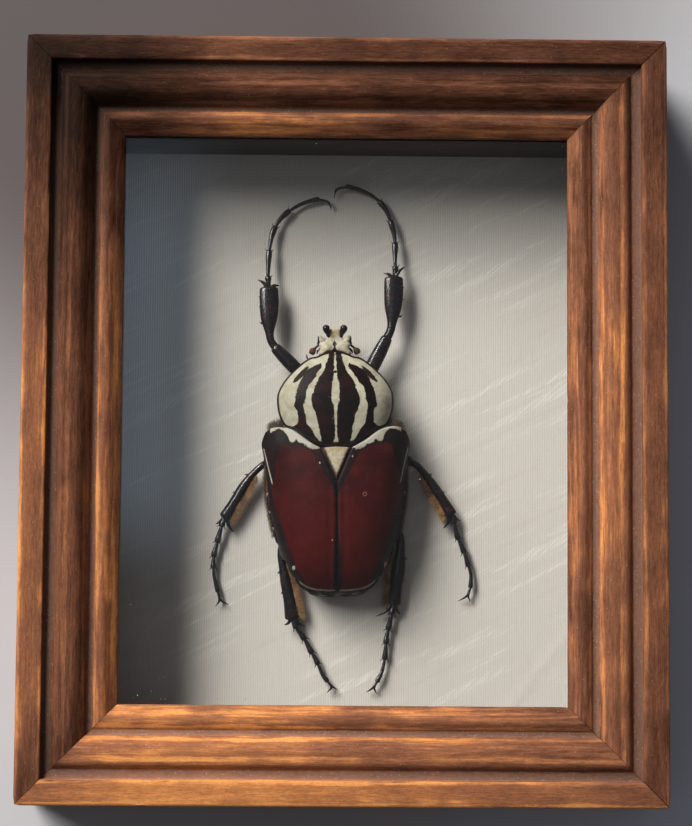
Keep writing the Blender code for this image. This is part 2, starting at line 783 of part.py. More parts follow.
def make_hind_body():
    """Thorax, with the lobes that show beside the shoulders, and abdomen with its blunt tip."""
    front, waist = THORAX_REACH
    stations = np.linspace(front, waist, 6)
    thorax = loft("thorax", [hind_body_section(float(y), 1.0) for y in stations], "brown_chitin")
    set_on_fabric(thorax)
    for side in (-1, 1):
        path = [(side * x, y, z) for x, y, z in SHOULDER_LOBE]
        widths = SHOULDER_LOBE_WIDTHS
        lobe = limb("shoulder_lobe", path, widths, widths, "brown_chitin", samples=5)
        set_on_fabric(lobe)
        combine(thorax, lobe, "UNION")
    start, end = ABDOMEN_REACH
    rings = [hind_body_section(float(y), 1.0) for y in np.linspace(start, end, 10)]
    rings.append(hind_body_section(PYGIDIUM_TIP_Y, PYGIDIUM_SHRINK))
    set_on_fabric(loft("abdomen", rings, "black_chitin"))


def make_head():
    """Head with its blunt forked horn and the two pointed lobes beside it."""
    centre = Vector((0, HEAD_CENTRE_Y, 0))
    outline = whole_outline(HEAD_OUTLINE, 15)
    rings = []
    for scale, height in HEAD_UNDER_RINGS:
        ring = [centre + (point - centre) * scale for point in outline]
        rings.append([point + Vector((0, 0, height)) for point in ring])
    for scale, sink in HEAD_UPPER_RINGS:
        ring = [centre + (point - centre) * scale for point in outline]
        rings.append([p + Vector((0, 0, along_stations(HEAD_TOP, p.y) - sink)) for p in ring])
    head = loft("head", rings, "cream_chitin")
    set_on_fabric(head)
    growths = (
        ("horn_prong", HORN_PRONG, HORN_PRONG_WIDTHS),
        ("head_lobe", HEAD_LOBE, HEAD_LOBE_WIDTHS),
    )
    for side in (-1, 1):
        for name, path, widths in growths:
            mirrored = [(side * x, y, z) for x, y, z in path]
            growth = limb(name, mirrored, widths, widths, "cream_chitin", sides=7, samples=5)
            set_on_fabric(growth)
            combine(head, growth, "UNION")


def make_antennae():
    for name, side in (("antenna_left", -1), ("antenna_right", 1)):
        path = [(side * x, y, z) for x, y, z in ANTENNA]
        heights = [width * 0.8 for width in ANTENNA_WIDTHS]
        antenna = limb(name, path, ANTENNA_WIDTHS, heights, "brown_chitin", sides=7, samples=5)
        set_on_fabric(antenna)


def lifted(points):
    """Leg points, given from the fabric, as places in the frame."""
    return [(x, y, z + FABRIC_TOP) for x, y, z in points]


def tarsus_widths(samples):
    """Widths that swell towards the end of each foot joint and pinch in between."""
    widths = []
    for k in range(samples):
        within = (k / (samples - 1) * TARSUS_JOINTS) % 1.0
        widths.append(TARSUS_WIDTH * (0.72 + 0.4 * within - 0.12 * k / samples))
    return widths


def make_tarsus(name, leg):
    samples = TARSUS_SAMPLES
    widths = tarsus_widths(samples)
    heights = [width * 0.8 for width in widths]
    path = lifted(leg["tarsus"])
    tarsus = limb(name, path, widths, heights, "black_chitin", sides=6, samples=samples)
    end = Vector(path[-1])
    bend = Vector((*leg["claw_bend"], end.z))
    for number, tip in enumerate(lifted(leg["claws"]), 1):
        root = end.lerp(Vector(path[-2]), 0.25)
        claw = limb(
            f"{name}_claw_{number}",
            (root, bend.lerp(Vector(tip), 0.1), tip),
            (CLAW_WIDTH, CLAW_WIDTH, CLAW_WIDTH * 0.35),
            (CLAW_WIDTH, CLAW_WIDTH, CLAW_WIDTH * 0.35),
            "black_chitin",
            sides=5,
            samples=6,
        )
        combine(tarsus, claw, "UNION")


def make_tibia(name, leg):
    path = lifted(leg["tibia"])
    widths = leg["tibia_widths"]
    heights = (TIBIA_HEIGHT * 0.75, TIBIA_HEIGHT, TIBIA_HEIGHT, TIBIA_HEIGHT * 0.8)
    tibia = limb(name, path, widths, heights, "black_chitin", samples=8)
    ankle = Vector(path[-1])
    root = ankle.lerp(Vector(path[-2]), 0.25)
    for number, (x, y) in enumerate(leg["spurs"], 1):
        tip = Vector((x, y, ankle.z - 0.4))
        shoulder = ankle.lerp(tip, 0.45)
        spur = limb(
            f"{name}_spur_{number}",
            (root, shoulder, tip),
            (SPUR_WIDTH, SPUR_WIDTH, 0.4),
            (SPUR_WIDTH, SPUR_WIDTH, 0.4),
            "black_chitin",
            sides=6,
            samples=4,
        )
        combine(tibia, spur, "UNION")


def make_hair_fringe(name, leg):
    """The brush along one side of a tibia, as the flat body that its hairs fill."""
    last = 4
    line = smooth_line(lifted(leg["tibia"]), last + 1)
    fringe = []
    for k in range(1, last + 1):
        tangent = (line[min(k + 1, last)] - line[k - 1]).normalized()
        across = tangent.cross(Vector((0, 0, 1))).normalized()
        offset = between(leg["tibia_widths"], k / last) / 2 + HAIR_GAP + HAIR_WIDTH / 2
        fringe.append(line[k] - across * leg["hair"] * offset - Vector((0, 0, HAIR_SINK)))
    widths = (HAIR_WIDTH * 0.4, HAIR_WIDTH, HAIR_WIDTH)
    heights = (HAIR_THICKNESS, HAIR_THICKNESS)
    limb(name, fringe, widths, heights, "tawny_hair", sides=6, samples=6)


def make_legs():
    for side, leg in LEGS.items():
        width = leg["femur_width"]
        widths = (width * 0.7, width, width, width * 0.8)
        heights = [w * FEMUR_HEIGHT_SHARE for w in widths]
        limb(f"{side}_femur", lifted(leg["femur"]), widths, heights, "black_chitin")
        make_tibia(f"{side}_tibia", leg)
        make_tarsus(f"{side}_tarsus", leg)
        if leg["hair"]:
            make_hair_fringe(f"{side}_hair_fringe", leg)


def main():
    clear_scene()
    make_frame()
    make_layers()
    make_spacers()
    make_hanger()
    make_pronotum()
    make_elytron("elytron_left", -1)
    make_elytron("elytron_right", 1)
    make_scutellum()
    make_hind_body()
    make_head()
    make_antennae()
    make_legs()


main()
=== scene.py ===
import json
import math
import random

import bmesh
import bpy
import numpy as np
from mathutils import Matrix, Vector
from mathutils.noise import noise

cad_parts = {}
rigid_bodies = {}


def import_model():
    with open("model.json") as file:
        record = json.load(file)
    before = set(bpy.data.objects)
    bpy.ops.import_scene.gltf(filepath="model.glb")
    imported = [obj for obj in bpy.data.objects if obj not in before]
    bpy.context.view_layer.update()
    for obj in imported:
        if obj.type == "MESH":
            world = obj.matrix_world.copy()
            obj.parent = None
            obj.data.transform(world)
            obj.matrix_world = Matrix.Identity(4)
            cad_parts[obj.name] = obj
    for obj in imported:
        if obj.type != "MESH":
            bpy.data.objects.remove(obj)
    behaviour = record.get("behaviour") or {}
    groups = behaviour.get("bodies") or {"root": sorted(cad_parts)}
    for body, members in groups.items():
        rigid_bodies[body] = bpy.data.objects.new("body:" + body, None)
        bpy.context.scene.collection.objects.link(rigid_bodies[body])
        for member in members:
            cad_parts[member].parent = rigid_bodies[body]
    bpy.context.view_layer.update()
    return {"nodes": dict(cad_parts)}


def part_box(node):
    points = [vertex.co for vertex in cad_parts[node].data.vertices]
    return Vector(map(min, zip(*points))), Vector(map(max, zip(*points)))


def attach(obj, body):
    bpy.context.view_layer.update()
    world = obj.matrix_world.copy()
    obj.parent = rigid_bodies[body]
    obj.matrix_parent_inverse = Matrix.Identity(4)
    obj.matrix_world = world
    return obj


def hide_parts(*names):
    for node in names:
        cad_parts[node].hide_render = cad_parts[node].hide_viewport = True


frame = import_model()

# All sizes below are in millimetres, and MM turns them to metres
MM = 0.001
rng = random.Random(7)

# Camera, fitted to the frame's corners in the photograph
CAMERA_PLACE = (-0.01324, -0.07873, 0.85646)
CAMERA_TURN = (5.617, -0.991, 0.383)
CAMERA_LENS = 115.2

# Frame
FRAME_WIDTH = 200.0
FRAME_HEIGHT = 238.6
FRAME_DEPTH = 46.0
RAIL_WIDTH = 30.7
RIM_WIDTH = 8.0
SIGHT_EDGE_TOP = 38.9
LIP_UNDERSIDE = 37.5
REBATE_WALL = 22.2
CORNER_RADIUS = 1.3
MOULDING = (
    (0.0, 0.9, 0.0), (0.9, 0.0, 0.25), (7.3, 0.0, 0.0), (8.0, 0.7, 0.2), (8.3, 2.3, 0.0),
    (11.0, 2.4, 0.0), (11.3, 2.1, 0.0), (14.0, 1.1, 0.45), (14.6, 1.1, 0.0), (20.7, 3.8, 0.9),
    (21.8, 5.2, 0.0), (23.1, 5.4, 0.0), (23.4, 5.1, 0.0), (28.2, 5.6, 0.9),
)
ARRIS_RADIUS = 0.22
SWELL_STEP = 0.45
FLAT_STEP = 1.6
RAIL_SEGMENTS = 110

# How light the stained wood looks along each rail, from its left or lower end to its other end. Partly the
# stain's own unevenness, partly painted shade and light: darkest on the top rail and at the top left corner
WOOD_TONE_AND_SHADE = {
    "top": (-0.03, 0.06, 0.44, 0.34, 0.32, 0.31, 0.25),
    "bottom": (0.52, 0.82, 0.86, 0.72, 0.66, 0.58, 0.47),
    "left": (0.46, 0.78, 0.82, 0.8, 0.74, 0.6, 0.38, 0.06),
    "right": (0.38, 0.46, 0.52, 0.55, 0.55, 0.5, 0.42, 0.33),
}
# What is added to it on each rail's rim, on its rounded middle and on its inner bead: partly stain, partly
# painted shade and light, which makes the left rail's rounded middle darkest
MOULDING_TONE_AND_SHADE = {
    "top": (0.0, -0.06, 0.13),
    "bottom": (0.08, -0.1, -0.12),
    "left": (-0.16, -0.33, -0.2),
    "right": (-0.02, 0.05, -0.06),
}
# Where on the rail the rim ends, the rounded middle begins and ends, and the bead begins
MOULDING_BANDS = (7.8, 9.0, 22.0, 23.0)
# The outer sides are more even: their own tone, and the share of the rim's tone, with its painted shade and
# light, in it
ON_SIDE_DEPTH = 0.05
SIDE_TONE = 0.34
SIDE_TONE_SHARE = 0.25
# How far the rails stand back from each mitre joint
MITRE_GAP = {"top_left": 0.03, "top_right": 0.1, "bottom_left": 0.04, "bottom_right": 0.12}
MITRE_GAP_INSIDE = 0.2
# Wear: how deep the surface is sunk, its waves and tool marks, and the dents where noise rises above a start
WEAR_DEPTH = 0.05
WEAR_WAVES = 0.05
TOOL_MARKS = 0.03
DENT_START = 0.52
DENT_DEPTH = 1.1
# The strip along the outer edge that wears less, and the share of the wear that it gets
SPARED_STRIP = 0.6
SPARED_SHARE = 0.3

# Lining
CLOTH_UNDERSIDE = 8.5
CLOTH_TOP = 9.0
CLOTH_WIDTH = 154.6
CLOTH_HEIGHT = 193.2
RIB_PITCH = 0.75
RIB_HEIGHT = 0.035
CLOTH_ROWS = 90
# How far the ribs wander, how slack the cloth is, and how far it stays under its top
RIB_DRIFT = 0.25
CLOTH_SLACK = 0.05
CLOTH_SINK = 0.06
# A soft fold near the lower right corner
CREASE_START = (52.0, -91.0)
CREASE_END = (73.0, -65.0)
CREASE_HEIGHT = 0.12
CREASE_REACH = 1.1

# Dust on the glass: where each group lies, how far it spreads and how many specks it has
DUST_GROUPS = (
    ((-58, -83), 9, 16),
    ((-60, -60), 8, 12),
    ((-66, 60), 5, 8),
    ((-40, -84), 16, 14),
    ((70, 82), 6, 8),
    ((0, 0), 75, 60),
)
DUST_HALF_WIDTH = 68
DUST_HALF_HEIGHT = 87

# Beetle: where the middle of the pronotum's rear edge lies on the lining, and the body's turn
BODY_ORIGIN = (-2.5, -7.9, CLOTH_TOP)
BODY_TURN = math.radians(1.0)

# Pronotum, in the body's own axes: half widths and places from its rear edge
PRONOTUM_CENTRE_Y = 15.0
PRONOTUM_OUTLINE = (
    (0.0, 31.0), (3.4, 30.2), (6.0, 29.1), (8.2, 28.7), (11.3, 26.6), (14.5, 23.6), (16.8, 20.7),
    (18.3, 17.6), (18.5, 14.4), (18.1, 11.4), (17.1, 8.6), (16.0, 7.1), (13.4, 5.9), (8.9, 2.7),
    (4.6, 0.2), (0.0, 0.0),
)
PRONOTUM_SIDE = (
    (-1.0, 16.6), (6.0, 17.4), (12.0, 18.6), (16.0, 19.0), (21.0, 17.1), (27.0, 12.0), (32.0, 8.6),
)
PRONOTUM_CROWN = ((-1.0, 19.6), (7.0, 20.4), (16.0, 20.0), (24.0, 17.8), (31.5, 14.2))
PRONOTUM_RIM = 10.0
PRONOTUM_UNDERSIDE = 8.9
# Its thin raised rim, and how uneven its surface is
RIM_RISE = 0.16
RIM_PLACE = 0.2
RIM_REACH = 0.3
SHIELD_UNEVENNESS = 0.03
PROSTERNUM_HALF = (6.3, 12.0)
PROSTERNUM_HEIGHTS = (0.3, 2.2, 8.5)

# Wing cases
ELYTRON_FRONT = ((4.8, -0.5), (9.2, 2.0), (13.6, 5.2), (17.2, 6.5), (20.2, 6.4), (22.3, 5.2))
ELYTRON_SIDE = (
    (22.3, 5.2), (23.5, 1.8), (23.0, -2.0), (22.2, -8.0), (21.2, -17.0), (19.9, -24.0), (18.6, -29.0),
    (16.7, -34.2), (15.0, -38.0), (13.0, -41.0),
)
ELYTRON_REAR = ((0.17, -45.2), (5.0, -45.0), (8.4, -44.4), (10.9, -43.1), (13.0, -41.0))
SUTURE_TOP = (0.3, -11.2)
SUTURE_END = (0.17, -45.2)
SUTURE_TOP_SHARE = 0.25
ELYTRA_HALF_WIDTH = (
    (-46.0, 8.0), (-44.6, 10.0), (-41.0, 13.8), (-34.2, 17.0), (-24.0, 20.2), (-12.7, 21.9),
    (-2.0, 23.4), (2.0, 24.0), (8.0, 23.4),
)
ELYTRA_CROWN = (
    (-46.0, 11.0), (-42.0, 14.8), (-35.0, 18.6), (-24.0, 21.4), (-10.0, 22.0), (0.0, 20.8), (8.0, 18.6),
)
ELYTRA_EDGE = ((-46.0, 8.6), (-30.0, 8.0), (-10.0, 8.4), (8.0, 11.0))
ELYTRON_THICKNESS = 0.9
ELYTRON_COLUMNS = 44
ELYTRON_ROWS = 96
EDGE_ROUNDING = 0.35
# The groove beside the suture: depth, distance from it, reach, and the place along the body where it starts
GROOVE_DEPTH = 0.18
GROOVE_PLACE = 1.5
GROOVE_REACH = 0.7
GROOVE_START = -12
SHELL_SQUARENESS = 2.4
# Low swellings of each wing case: place, reach across and along, and rise
ELYTRON_SWELLINGS = ((18.6, 0.5, 2.6, 3.4, 0.55), (11.6, -37.4, 2.6, 2.8, 0.4))

SCUTELLUM_HALF_WIDTH = 4.35
SCUTELLUM_FRONT = -0.35
SCUTELLUM_TIP = -10.3
# Its outline as shares of its half width and length, and its rings as scale and sink
SCUTELLUM_OUTLINE = (
    (-1.0, 0.0), (0.0, 0.03), (1.0, 0.0), (0.76, -0.22), (0.5, -0.5), (0.24, -0.76), (0.0, -1.0),
    (-0.24, -0.76), (-0.5, -0.5), (-0.76, -0.22),
)
SCUTELLUM_RINGS = (
    (0.01, -0.1), (0.3, -0.08), (0.6, -0.04), (0.85, 0.02), (0.95, 0.1), (1.0, 0.3), (1.0, 1.4),
    (0.01, 1.4),
)

# Hind body
FLANK_HALF_WIDTH = (
    (-46.5, 7.0), (-44.0, 11.0), (-38.0, 15.2), (-30.0, 19.0), (-20.0, 21.6), (-10.0, 22.7),
    (-4.0, 22.2), (0.0, 20.0),
)
SHOULDER_LOBE = ((17.0, -3.0, 10.5), (18.2, 2.5, 11.2), (19.3, 8.0, 11.2))
SHOULDER_LOBE_WIDTHS = (5.0, 4.6, 3.6)
BODY_SEGMENT = 5.3
RING_DIP = 0.035
ABDOMEN_FRONT = -13.8
ABDOMEN_REAR = -45.4
TIP_LENGTH = 1.2
# The back lies under the wing cases by this much, and is this much narrower
BACK_SINK = 2.5
BACK_INSET = 2.7

# Head
HEAD_OUTLINE = (
    (0.0, 31.35), (2.7, 30.75), (4.6, 29.9), (5.2, 30.6), (4.6, 32.2), (5.0, 33.3), (4.6, 34.2),
    (3.2, 34.9), (2.2, 35.9), (1.9, 37.4), (1.5, 38.4), (0.0, 38.7),
)
HEAD_CENTRE_Y = 33.4
# Rings of its top, as scale and sink, and of its underside, as scale and height
HEAD_TOP_RINGS = (
    (0.01, -0.25), (0.25, -0.2), (0.5, -0.1), (0.7, 0.0), (0.84, 0.12), (0.93, 0.32), (0.98, 0.62),
    (1.0, 1.0),
)
HEAD_UNDER_RINGS = ((0.985, 8.6), (0.93, 7.2), (0.85, 6.2), (0.6, 5.6), (0.01, 5.4))
HEAD_TOP = ((29.5, 12.2), (33.0, 11.6), (36.0, 10.4), (39.0, 11.2))
HORN_PRONGS = {
    -1: ((-1.5, 35.4, 9.7), (-2.1, 36.9, 10.3), (-2.6, 38.4, 11.0), (-2.9, 39.6, 11.6)),
    1: ((1.9, 35.3, 9.7), (2.3, 36.8, 10.3), (2.9, 38.3, 11.0), (3.3, 39.5, 11.6)),
}
HORN_PRONG_WIDTHS = (0.9, 1.4, 2.3, 2.5)
HEAD_LOBE = ((3.2, 33.8, 9.9), (4.1, 35.0, 10.3), (4.7, 36.3, 10.6))
HEAD_LOBE_WIDTHS = (2.3, 1.9, 0.5)
EYE_RIDGE = ((4.7, 33.2, 9.9), (5.1, 34.6, 10.3), (5.15, 36.2, 10.5))
EYE_RIDGE_WIDTHS = (0.5, 0.6, 0.25)
CHEEK_RIDGE = ((4.6, 32.4, 9.6), (5.4, 31.6, 9.4), (5.7, 30.6, 9.2))
CHEEK_RIDGE_WIDTHS = (0.5, 0.7, 0.3)
ANTENNA_STALK = ((5.2, 33.4, 8.2), (5.9, 32.9, 8.4), (6.4, 32.3, 8.5))
CLUB_LEAF_GAP = 0.62

# Legs, as places on the frame from its middle and heights above the lining
LEGS = {
    "fore_left": {
        "femur": ((-10.2, 13.0, 5.8), (-15.3, 18.0, 6.0), (-22.7, 25.5, 6.2)),
        "femur_width": 4.3,
        "tibia": ((-23.6, 27.6, 6.2), (-24.1, 33.0, 6.0), (-24.1, 39.0, 5.7), (-24.3, 44.9, 5.4)),
        "tibia_widths": (2.6, 5.2, 5.9, 5.6),
        "spurs": ((-27.9, 47.0), (-20.9, 45.1)),
        "tarsus": (
            (-24.5, 46.4, 5.2), (-24.6, 51.0, 4.5), (-24.2, 57.5, 3.6), (-23.0, 63.3, 2.8),
            (-20.4, 67.7, 2.3), (-16.4, 71.0, 2.0), (-12.5, 72.9, 1.9), (-7.9, 74.1, 2.0),
        ),
        "claws": ((-4.3, 70.4, 1.3), (-4.6, 71.6, 3.0)),
        "claw_bend": (-5.6, 73.3),
        "hair": 0,
    },
    "fore_right": {
        "femur": ((5.4, 12.6, 6.0), (9.2, 19.3, 6.1), (14.1, 29.1, 6.2)),
        "femur_width": 4.5,
        "tibia": ((14.9, 31.0, 6.2), (15.5, 35.6, 6.0), (15.8, 42.0, 5.8), (15.8, 48.6, 5.6)),
        "tibia_widths": (2.8, 5.2, 5.9, 5.6),
        "spurs": ((19.5, 51.6), (12.5, 49.4)),
        "tarsus": (
            (16.3, 50.5, 5.4), (16.2, 54.2, 4.7), (16.2, 60.4, 3.6), (15.2, 65.4, 3.0),
            (13.2, 70.6, 2.4), (9.9, 74.4, 2.1), (5.4, 76.9, 2.0), (-0.1, 78.3, 2.1),
        ),
        "claws": ((-3.5, 74.2, 1.3), (-3.2, 75.4, 3.1)),
        "claw_bend": (-2.6, 77.4),
        "hair": 0,
    },
    "mid_left": {
        "femur": ((-10.2, -7.5, 2.7), (-17.5, -9.8, 2.9), (-25.5, -12.1, 3.2)),
        "femur_width": 4.0,
        "tibia": ((-26.9, -13.6, 3.4), (-30.3, -17.3, 3.3), (-34.1, -23.4, 3.1), (-37.9, -30.0, 2.9)),
        "tibia_widths": (2.2, 3.1, 3.1, 4.0),
        "spurs": ((-34.9, -34.1), (-40.6, -31.6)),
        "tarsus": (
            (-38.7, -32.2, 2.6), (-39.9, -36.9, 2.1), (-41.0, -41.3, 1.9), (-41.2, -45.0, 1.8),
            (-40.8, -48.6, 1.7), (-39.5, -53.6, 1.8),
        ),
        "claws": ((-40.4, -57.8, 1.1), (-36.2, -57.2, 1.1)),
        "claw_bend": (-39.0, -55.6),
        "hair": 1,
    },
    "mid_right": {
        "femur": ((5.0, -7.6, 2.7), (13.0, -9.4, 2.9), (22.4, -11.3, 3.2)),
        "femur_width": 4.0,
        "tibia": ((24.0, -12.7, 3.4), (27.4, -16.8, 3.3), (31.6, -22.9, 3.1), (35.0, -28.6, 2.9)),
        "tibia_widths": (2.2, 3.0, 3.1, 3.9),
        "spurs": ((32.2, -32.4), (37.7, -30.0)),
        "tarsus": (
            (35.7, -30.7, 2.6), (36.9, -35.3, 2.1), (38.7, -39.4, 1.9), (40.1, -43.6, 1.8),
            (41.1, -47.3, 1.7), (40.9, -51.7, 1.8),
        ),
        "claws": ((40.9, -55.7, 1.1), (37.0, -55.6, 1.1)),
        "claw_bend": (40.2, -53.6),
        "hair": -1,
    },
    "hind_left": {
        "femur": ((-10.4, -22.0, 2.5), (-15.0, -30.0, 2.6), (-19.8, -39.0, 2.8)),
        "femur_width": 4.8,
        "tibia": ((-19.6, -41.4, 3.2), (-18.5, -47.6, 3.2), (-17.1, -54.2, 3.1), (-15.7, -62.0, 2.9)),
        "tibia_widths": (2.4, 3.4, 3.7, 4.7),
        "spurs": ((-18.4, -63.6), (-11.7, -63.9)),
        "tarsus": (
            (-14.55, -64.4, 2.6), (-12.1, -67.7, 2.1), (-9.8, -71.9, 1.9), (-7.9, -75.1, 1.8),
            (-6.2, -79.0, 1.7), (-4.2, -81.7, 1.8),
        ),
        "claws": ((-1.2, -83.9, 1.1), (-4.6, -84.9, 1.1)),
        "claw_bend": (-3.1, -82.9),
        "hair": 1,
    },
    "hind_right": {
        "femur": ((5.2, -22.2, 2.3), (11.4, -27.4, 2.4), (17.8, -33.8, 2.6)),
        "femur_width": 4.8,
        "tibia": ((18.5, -36.3, 3.2), (18.0, -43.0, 3.2), (17.2, -50.0, 3.1), (16.5, -57.4, 2.9)),
        "tibia_widths": (2.8, 4.4, 4.0, 4.0),
        "spurs": ((18.6, -60.0), (10.9, -60.6)),
        "tarsus": (
            (15.9, -59.2, 2.6), (15.1, -63.3, 2.1), (14.3, -66.8, 1.9), (14.0, -70.4, 1.8),
            (13.6, -74.6, 1.7), (12.7, -78.4, 1.7), (11.0, -81.8, 1.8),
        ),
        "claws": ((7.9, -84.7, 1.1), (11.2, -85.2, 1.1)),
        "claw_bend": (10.3, -83.0),
        "hair": -1,
    },
}
FLANK_HAIRS = 1500
LOBE_HAIRS = 2600
DOWN_WIDTH = 0.09
BRISTLES = 160
BRISTLE_WIDTH = 0.07
BRUSH_HAIRS = 950
BRUSH_HAIR_WIDTH = 0.1
LINE_SAMPLES = 60
FEMUR_HEIGHT_SHARE = 0.8
TIBIA_HEIGHT = 2.6
TARSUS_WIDTH = 2.0
TARSUS_JOINTS = 5

# Lamps: direction, size in metres and power of each window pane, then the wide soft window behind them
WINDOW_PANES = {
    "window_top_pane": ((-0.88, 0.58, 1.0), 0.92, 41.0),
    "window_middle_pane": ((-0.9, 1.02, 1.0), 0.92, 40.0),
    "window_low_pane": ((-0.98, 1.5, 1.0), 1.0, 49.0),
}
WINDOW_DISTANCE = 3.3
WINDOW_COLOUR = (1.0, 0.97, 0.925)
FAR_DIRECTION = (-1.8, 2.1, 1.0)
FAR_DISTANCE = 4.0
FAR_SIZE = (2.8, 2.1)
FAR_POWER = 150.0
FAR_COLOUR = (1.0, 0.98, 0.95)
# The room, and the edges of the sky patch that the glass mirrors: axis, where it begins and where it is full
ROOM_COLOUR = (0.1, 0.1, 0.105)
SKY_COLOUR = (0.56, 0.75, 0.96)
SKY_PATCH_EDGES = (("x", -0.018, -0.062), ("y", 0.03, 0.075), ("y", 0.222, 0.15), ("z", 0.94, 0.975))

# Markings of the pronotum: half widths of each band at places along the body
MEDIAN_LINE = (
    (0.6, 0.2), (1.2, 0.7), (2.2, 0.65), (3.7, 0.32), (7.7, 0.34), (11.4, 0.42), (13.2, 0.75),
    (15.0, 1.12), (18.7, 1.15), (22.2, 0.62), (24.0, 0.5), (26.5, 0.36), (30.3, 0.3),
)
DARK_MIDDLE = (
    (1.6, 4.5), (4.0, 5.0), (5.9, 5.3), (7.7, 5.7), (9.5, 6.1), (11.4, 6.75), (13.2, 7.45), (15.0, 7.6),
    (16.9, 7.1), (18.7, 6.4), (20.5, 5.8), (22.4, 4.9), (24.2, 3.6), (26.0, 3.1), (29.0, 2.2),
    (31.0, 1.6),
)
CREAM_STRIPE = (
    (1.2, 4.7), (2.2, 5.6), (4.0, 6.8), (5.9, 7.9), (7.7, 9.2), (9.5, 9.5), (11.4, 9.8), (13.2, 10.0),
    (15.0, 9.6), (16.9, 9.3), (18.7, 8.8), (20.5, 7.5), (22.4, 6.3), (24.2, 5.2), (26.0, 4.3),
    (29.0, 5.0), (31.0, 6.0),
)
DARK_SIDE = (
    (1.0, 22.0), (5.2, 22.0), (6.2, 15.8), (7.2, 12.6), (8.4, 12.0), (9.5, 11.9), (11.4, 12.1),
    (13.2, 13.1), (15.0, 12.75), (16.9, 12.5), (18.7, 12.1), (20.5, 11.3), (22.4, 10.4), (24.2, 9.2),
    (25.6, 7.4), (26.6, 5.0), (27.4, 3.0),
)

# Markings of the wing cases: the cream band's lower edge and the maroon field's upper edge, as places along
# the body at distances from the middle, and the field's half widths at places along the body
CREAM_BAND_EDGE = (
    (4.6, 0.4), (5.6, -0.7), (7.0, -0.75), (9.0, 0.1), (10.2, 0.9), (11.6, 1.4), (12.5, 2.3),
    (13.4, 1.7), (14.3, 1.6), (15.2, 3.8), (16.4, 5.2), (17.4, 5.9), (20.0, 5.3), (20.8, 4.8),
)
MAROON_TOP = (
    (1.0, -14.0), (2.5, -10.5), (4.2, -8.0), (5.6, -4.6), (7.9, -1.6), (10.3, 0.2), (14.3, 1.0),
    (17.2, 0.6), (18.3, -1.5), (19.6, -5.0), (21.0, -12.0),
)
MAROON_SIDE = (
    (-45.0, 9.0), (-41.5, 10.8), (-35.8, 13.6), (-31.0, 15.4), (-26.5, 16.8), (-22.0, 18.4),
    (-15.3, 20.4), (-9.3, 20.0), (-3.3, 18.8), (2.8, 17.6),
)


def tint(red, green, blue):
    """A screen colour from 0 to 255 as the linear colour that a shader takes."""
    shares = (red / 255, green / 255, blue / 255)
    return tuple(s / 12.92 if s <= 0.04045 else ((s + 0.055) / 1.055) ** 2.4 for s in shares)


class Value:
    """A number or colour that nodes work out. Arithmetic on it adds Math nodes."""

    def __init__(self, nodes, socket):
        self.nodes = nodes
        self.socket = socket

    def __add__(self, other):
        return self.nodes.maths("ADD", self, other)

    def __sub__(self, other):
        return self.nodes.maths("SUBTRACT", self, other)

    def __rsub__(self, other):
        return self.nodes.maths("SUBTRACT", other, self)

    def __mul__(self, other):
        return self.nodes.maths("MULTIPLY", self, other)

    def __truediv__(self, other):
        return self.nodes.maths("DIVIDE", self, other)

    __radd__ = __add__
    __rmul__ = __mul__


class Nodes:
    """A node tree in the making."""

    def __init__(self, tree):
        self.tree = tree

    def feed(self, socket, value):
        """Gives a socket a number, a colour or the outcome of other nodes."""
        if isinstance(value, Value):
            self.tree.links.new(value.socket, socket)
        elif socket.type == "RGBA" and len(value) == 3:
            socket.default_value = (*value, 1.0)
        else:
            socket.default_value = value

    def node(self, kind, sockets=None, output=0, stops=None, points=None, **settings):
        """Adds a node with its settings, feeds its sockets and gives one of its outcomes."""
        made = self.tree.nodes.new("ShaderNode" + kind)
        for setting, value in settings.items():
            setattr(made, setting, value)
        for number, (place, colour) in enumerate(stops or ()):
            marks = made.color_ramp.elements
            mark = marks[number] if number < 2 else marks.new(place)
            mark.position = place
            mark.color = (*colour, 1.0)
        if points:
            line = made.mapping.curves[0]
            line.points[0].location = points[0]
            line.points[1].location = points[-1]
            for place, height in points[1:-1]:
                line.points.new(place, height)
            made.mapping.update()
        for socket, value in (sockets or {}).items():
            self.feed(made.inputs[socket], value)
        return Value(self, made.outputs[output])

    def maths(self, operation, *values):
        return self.node("Math", dict(enumerate(values)), operation=operation)

    def biggest(self, one, other):
        return self.maths("MAXIMUM", one, other)

    def size_of(self, value):
        return self.maths("ABSOLUTE", value)

    def distance(self, x, y, centre, reach=(1.0, 1.0)):
        """Distance from a centre, in reaches across and along."""
        across = (x - centre[0]) / reach[0]
        along = (y - centre[1]) / reach[1]
        return self.maths("SQRT", across * across + along * along)

    def step(self, value, low, high):
        """Rises smoothly from 0 to 1 while a value goes from low to high."""
        sockets = {"Value": value, "From Min": low, "From Max": high}
        return self.node("MapRange", sockets, interpolation_type="SMOOTHSTEP")

    def mix(self, share, under, over):
        """The under colour with a share of the over colour laid on it."""
        return self.node("Mix", {0: share, 6: under, 7: over}, output=2, data_type="RGBA")

    def parts(self, vector):
        """The three numbers of a vector."""
        split = self.node("SeparateXYZ", {0: vector})
        return [Value(self, socket) for socket in split.socket.node.outputs]


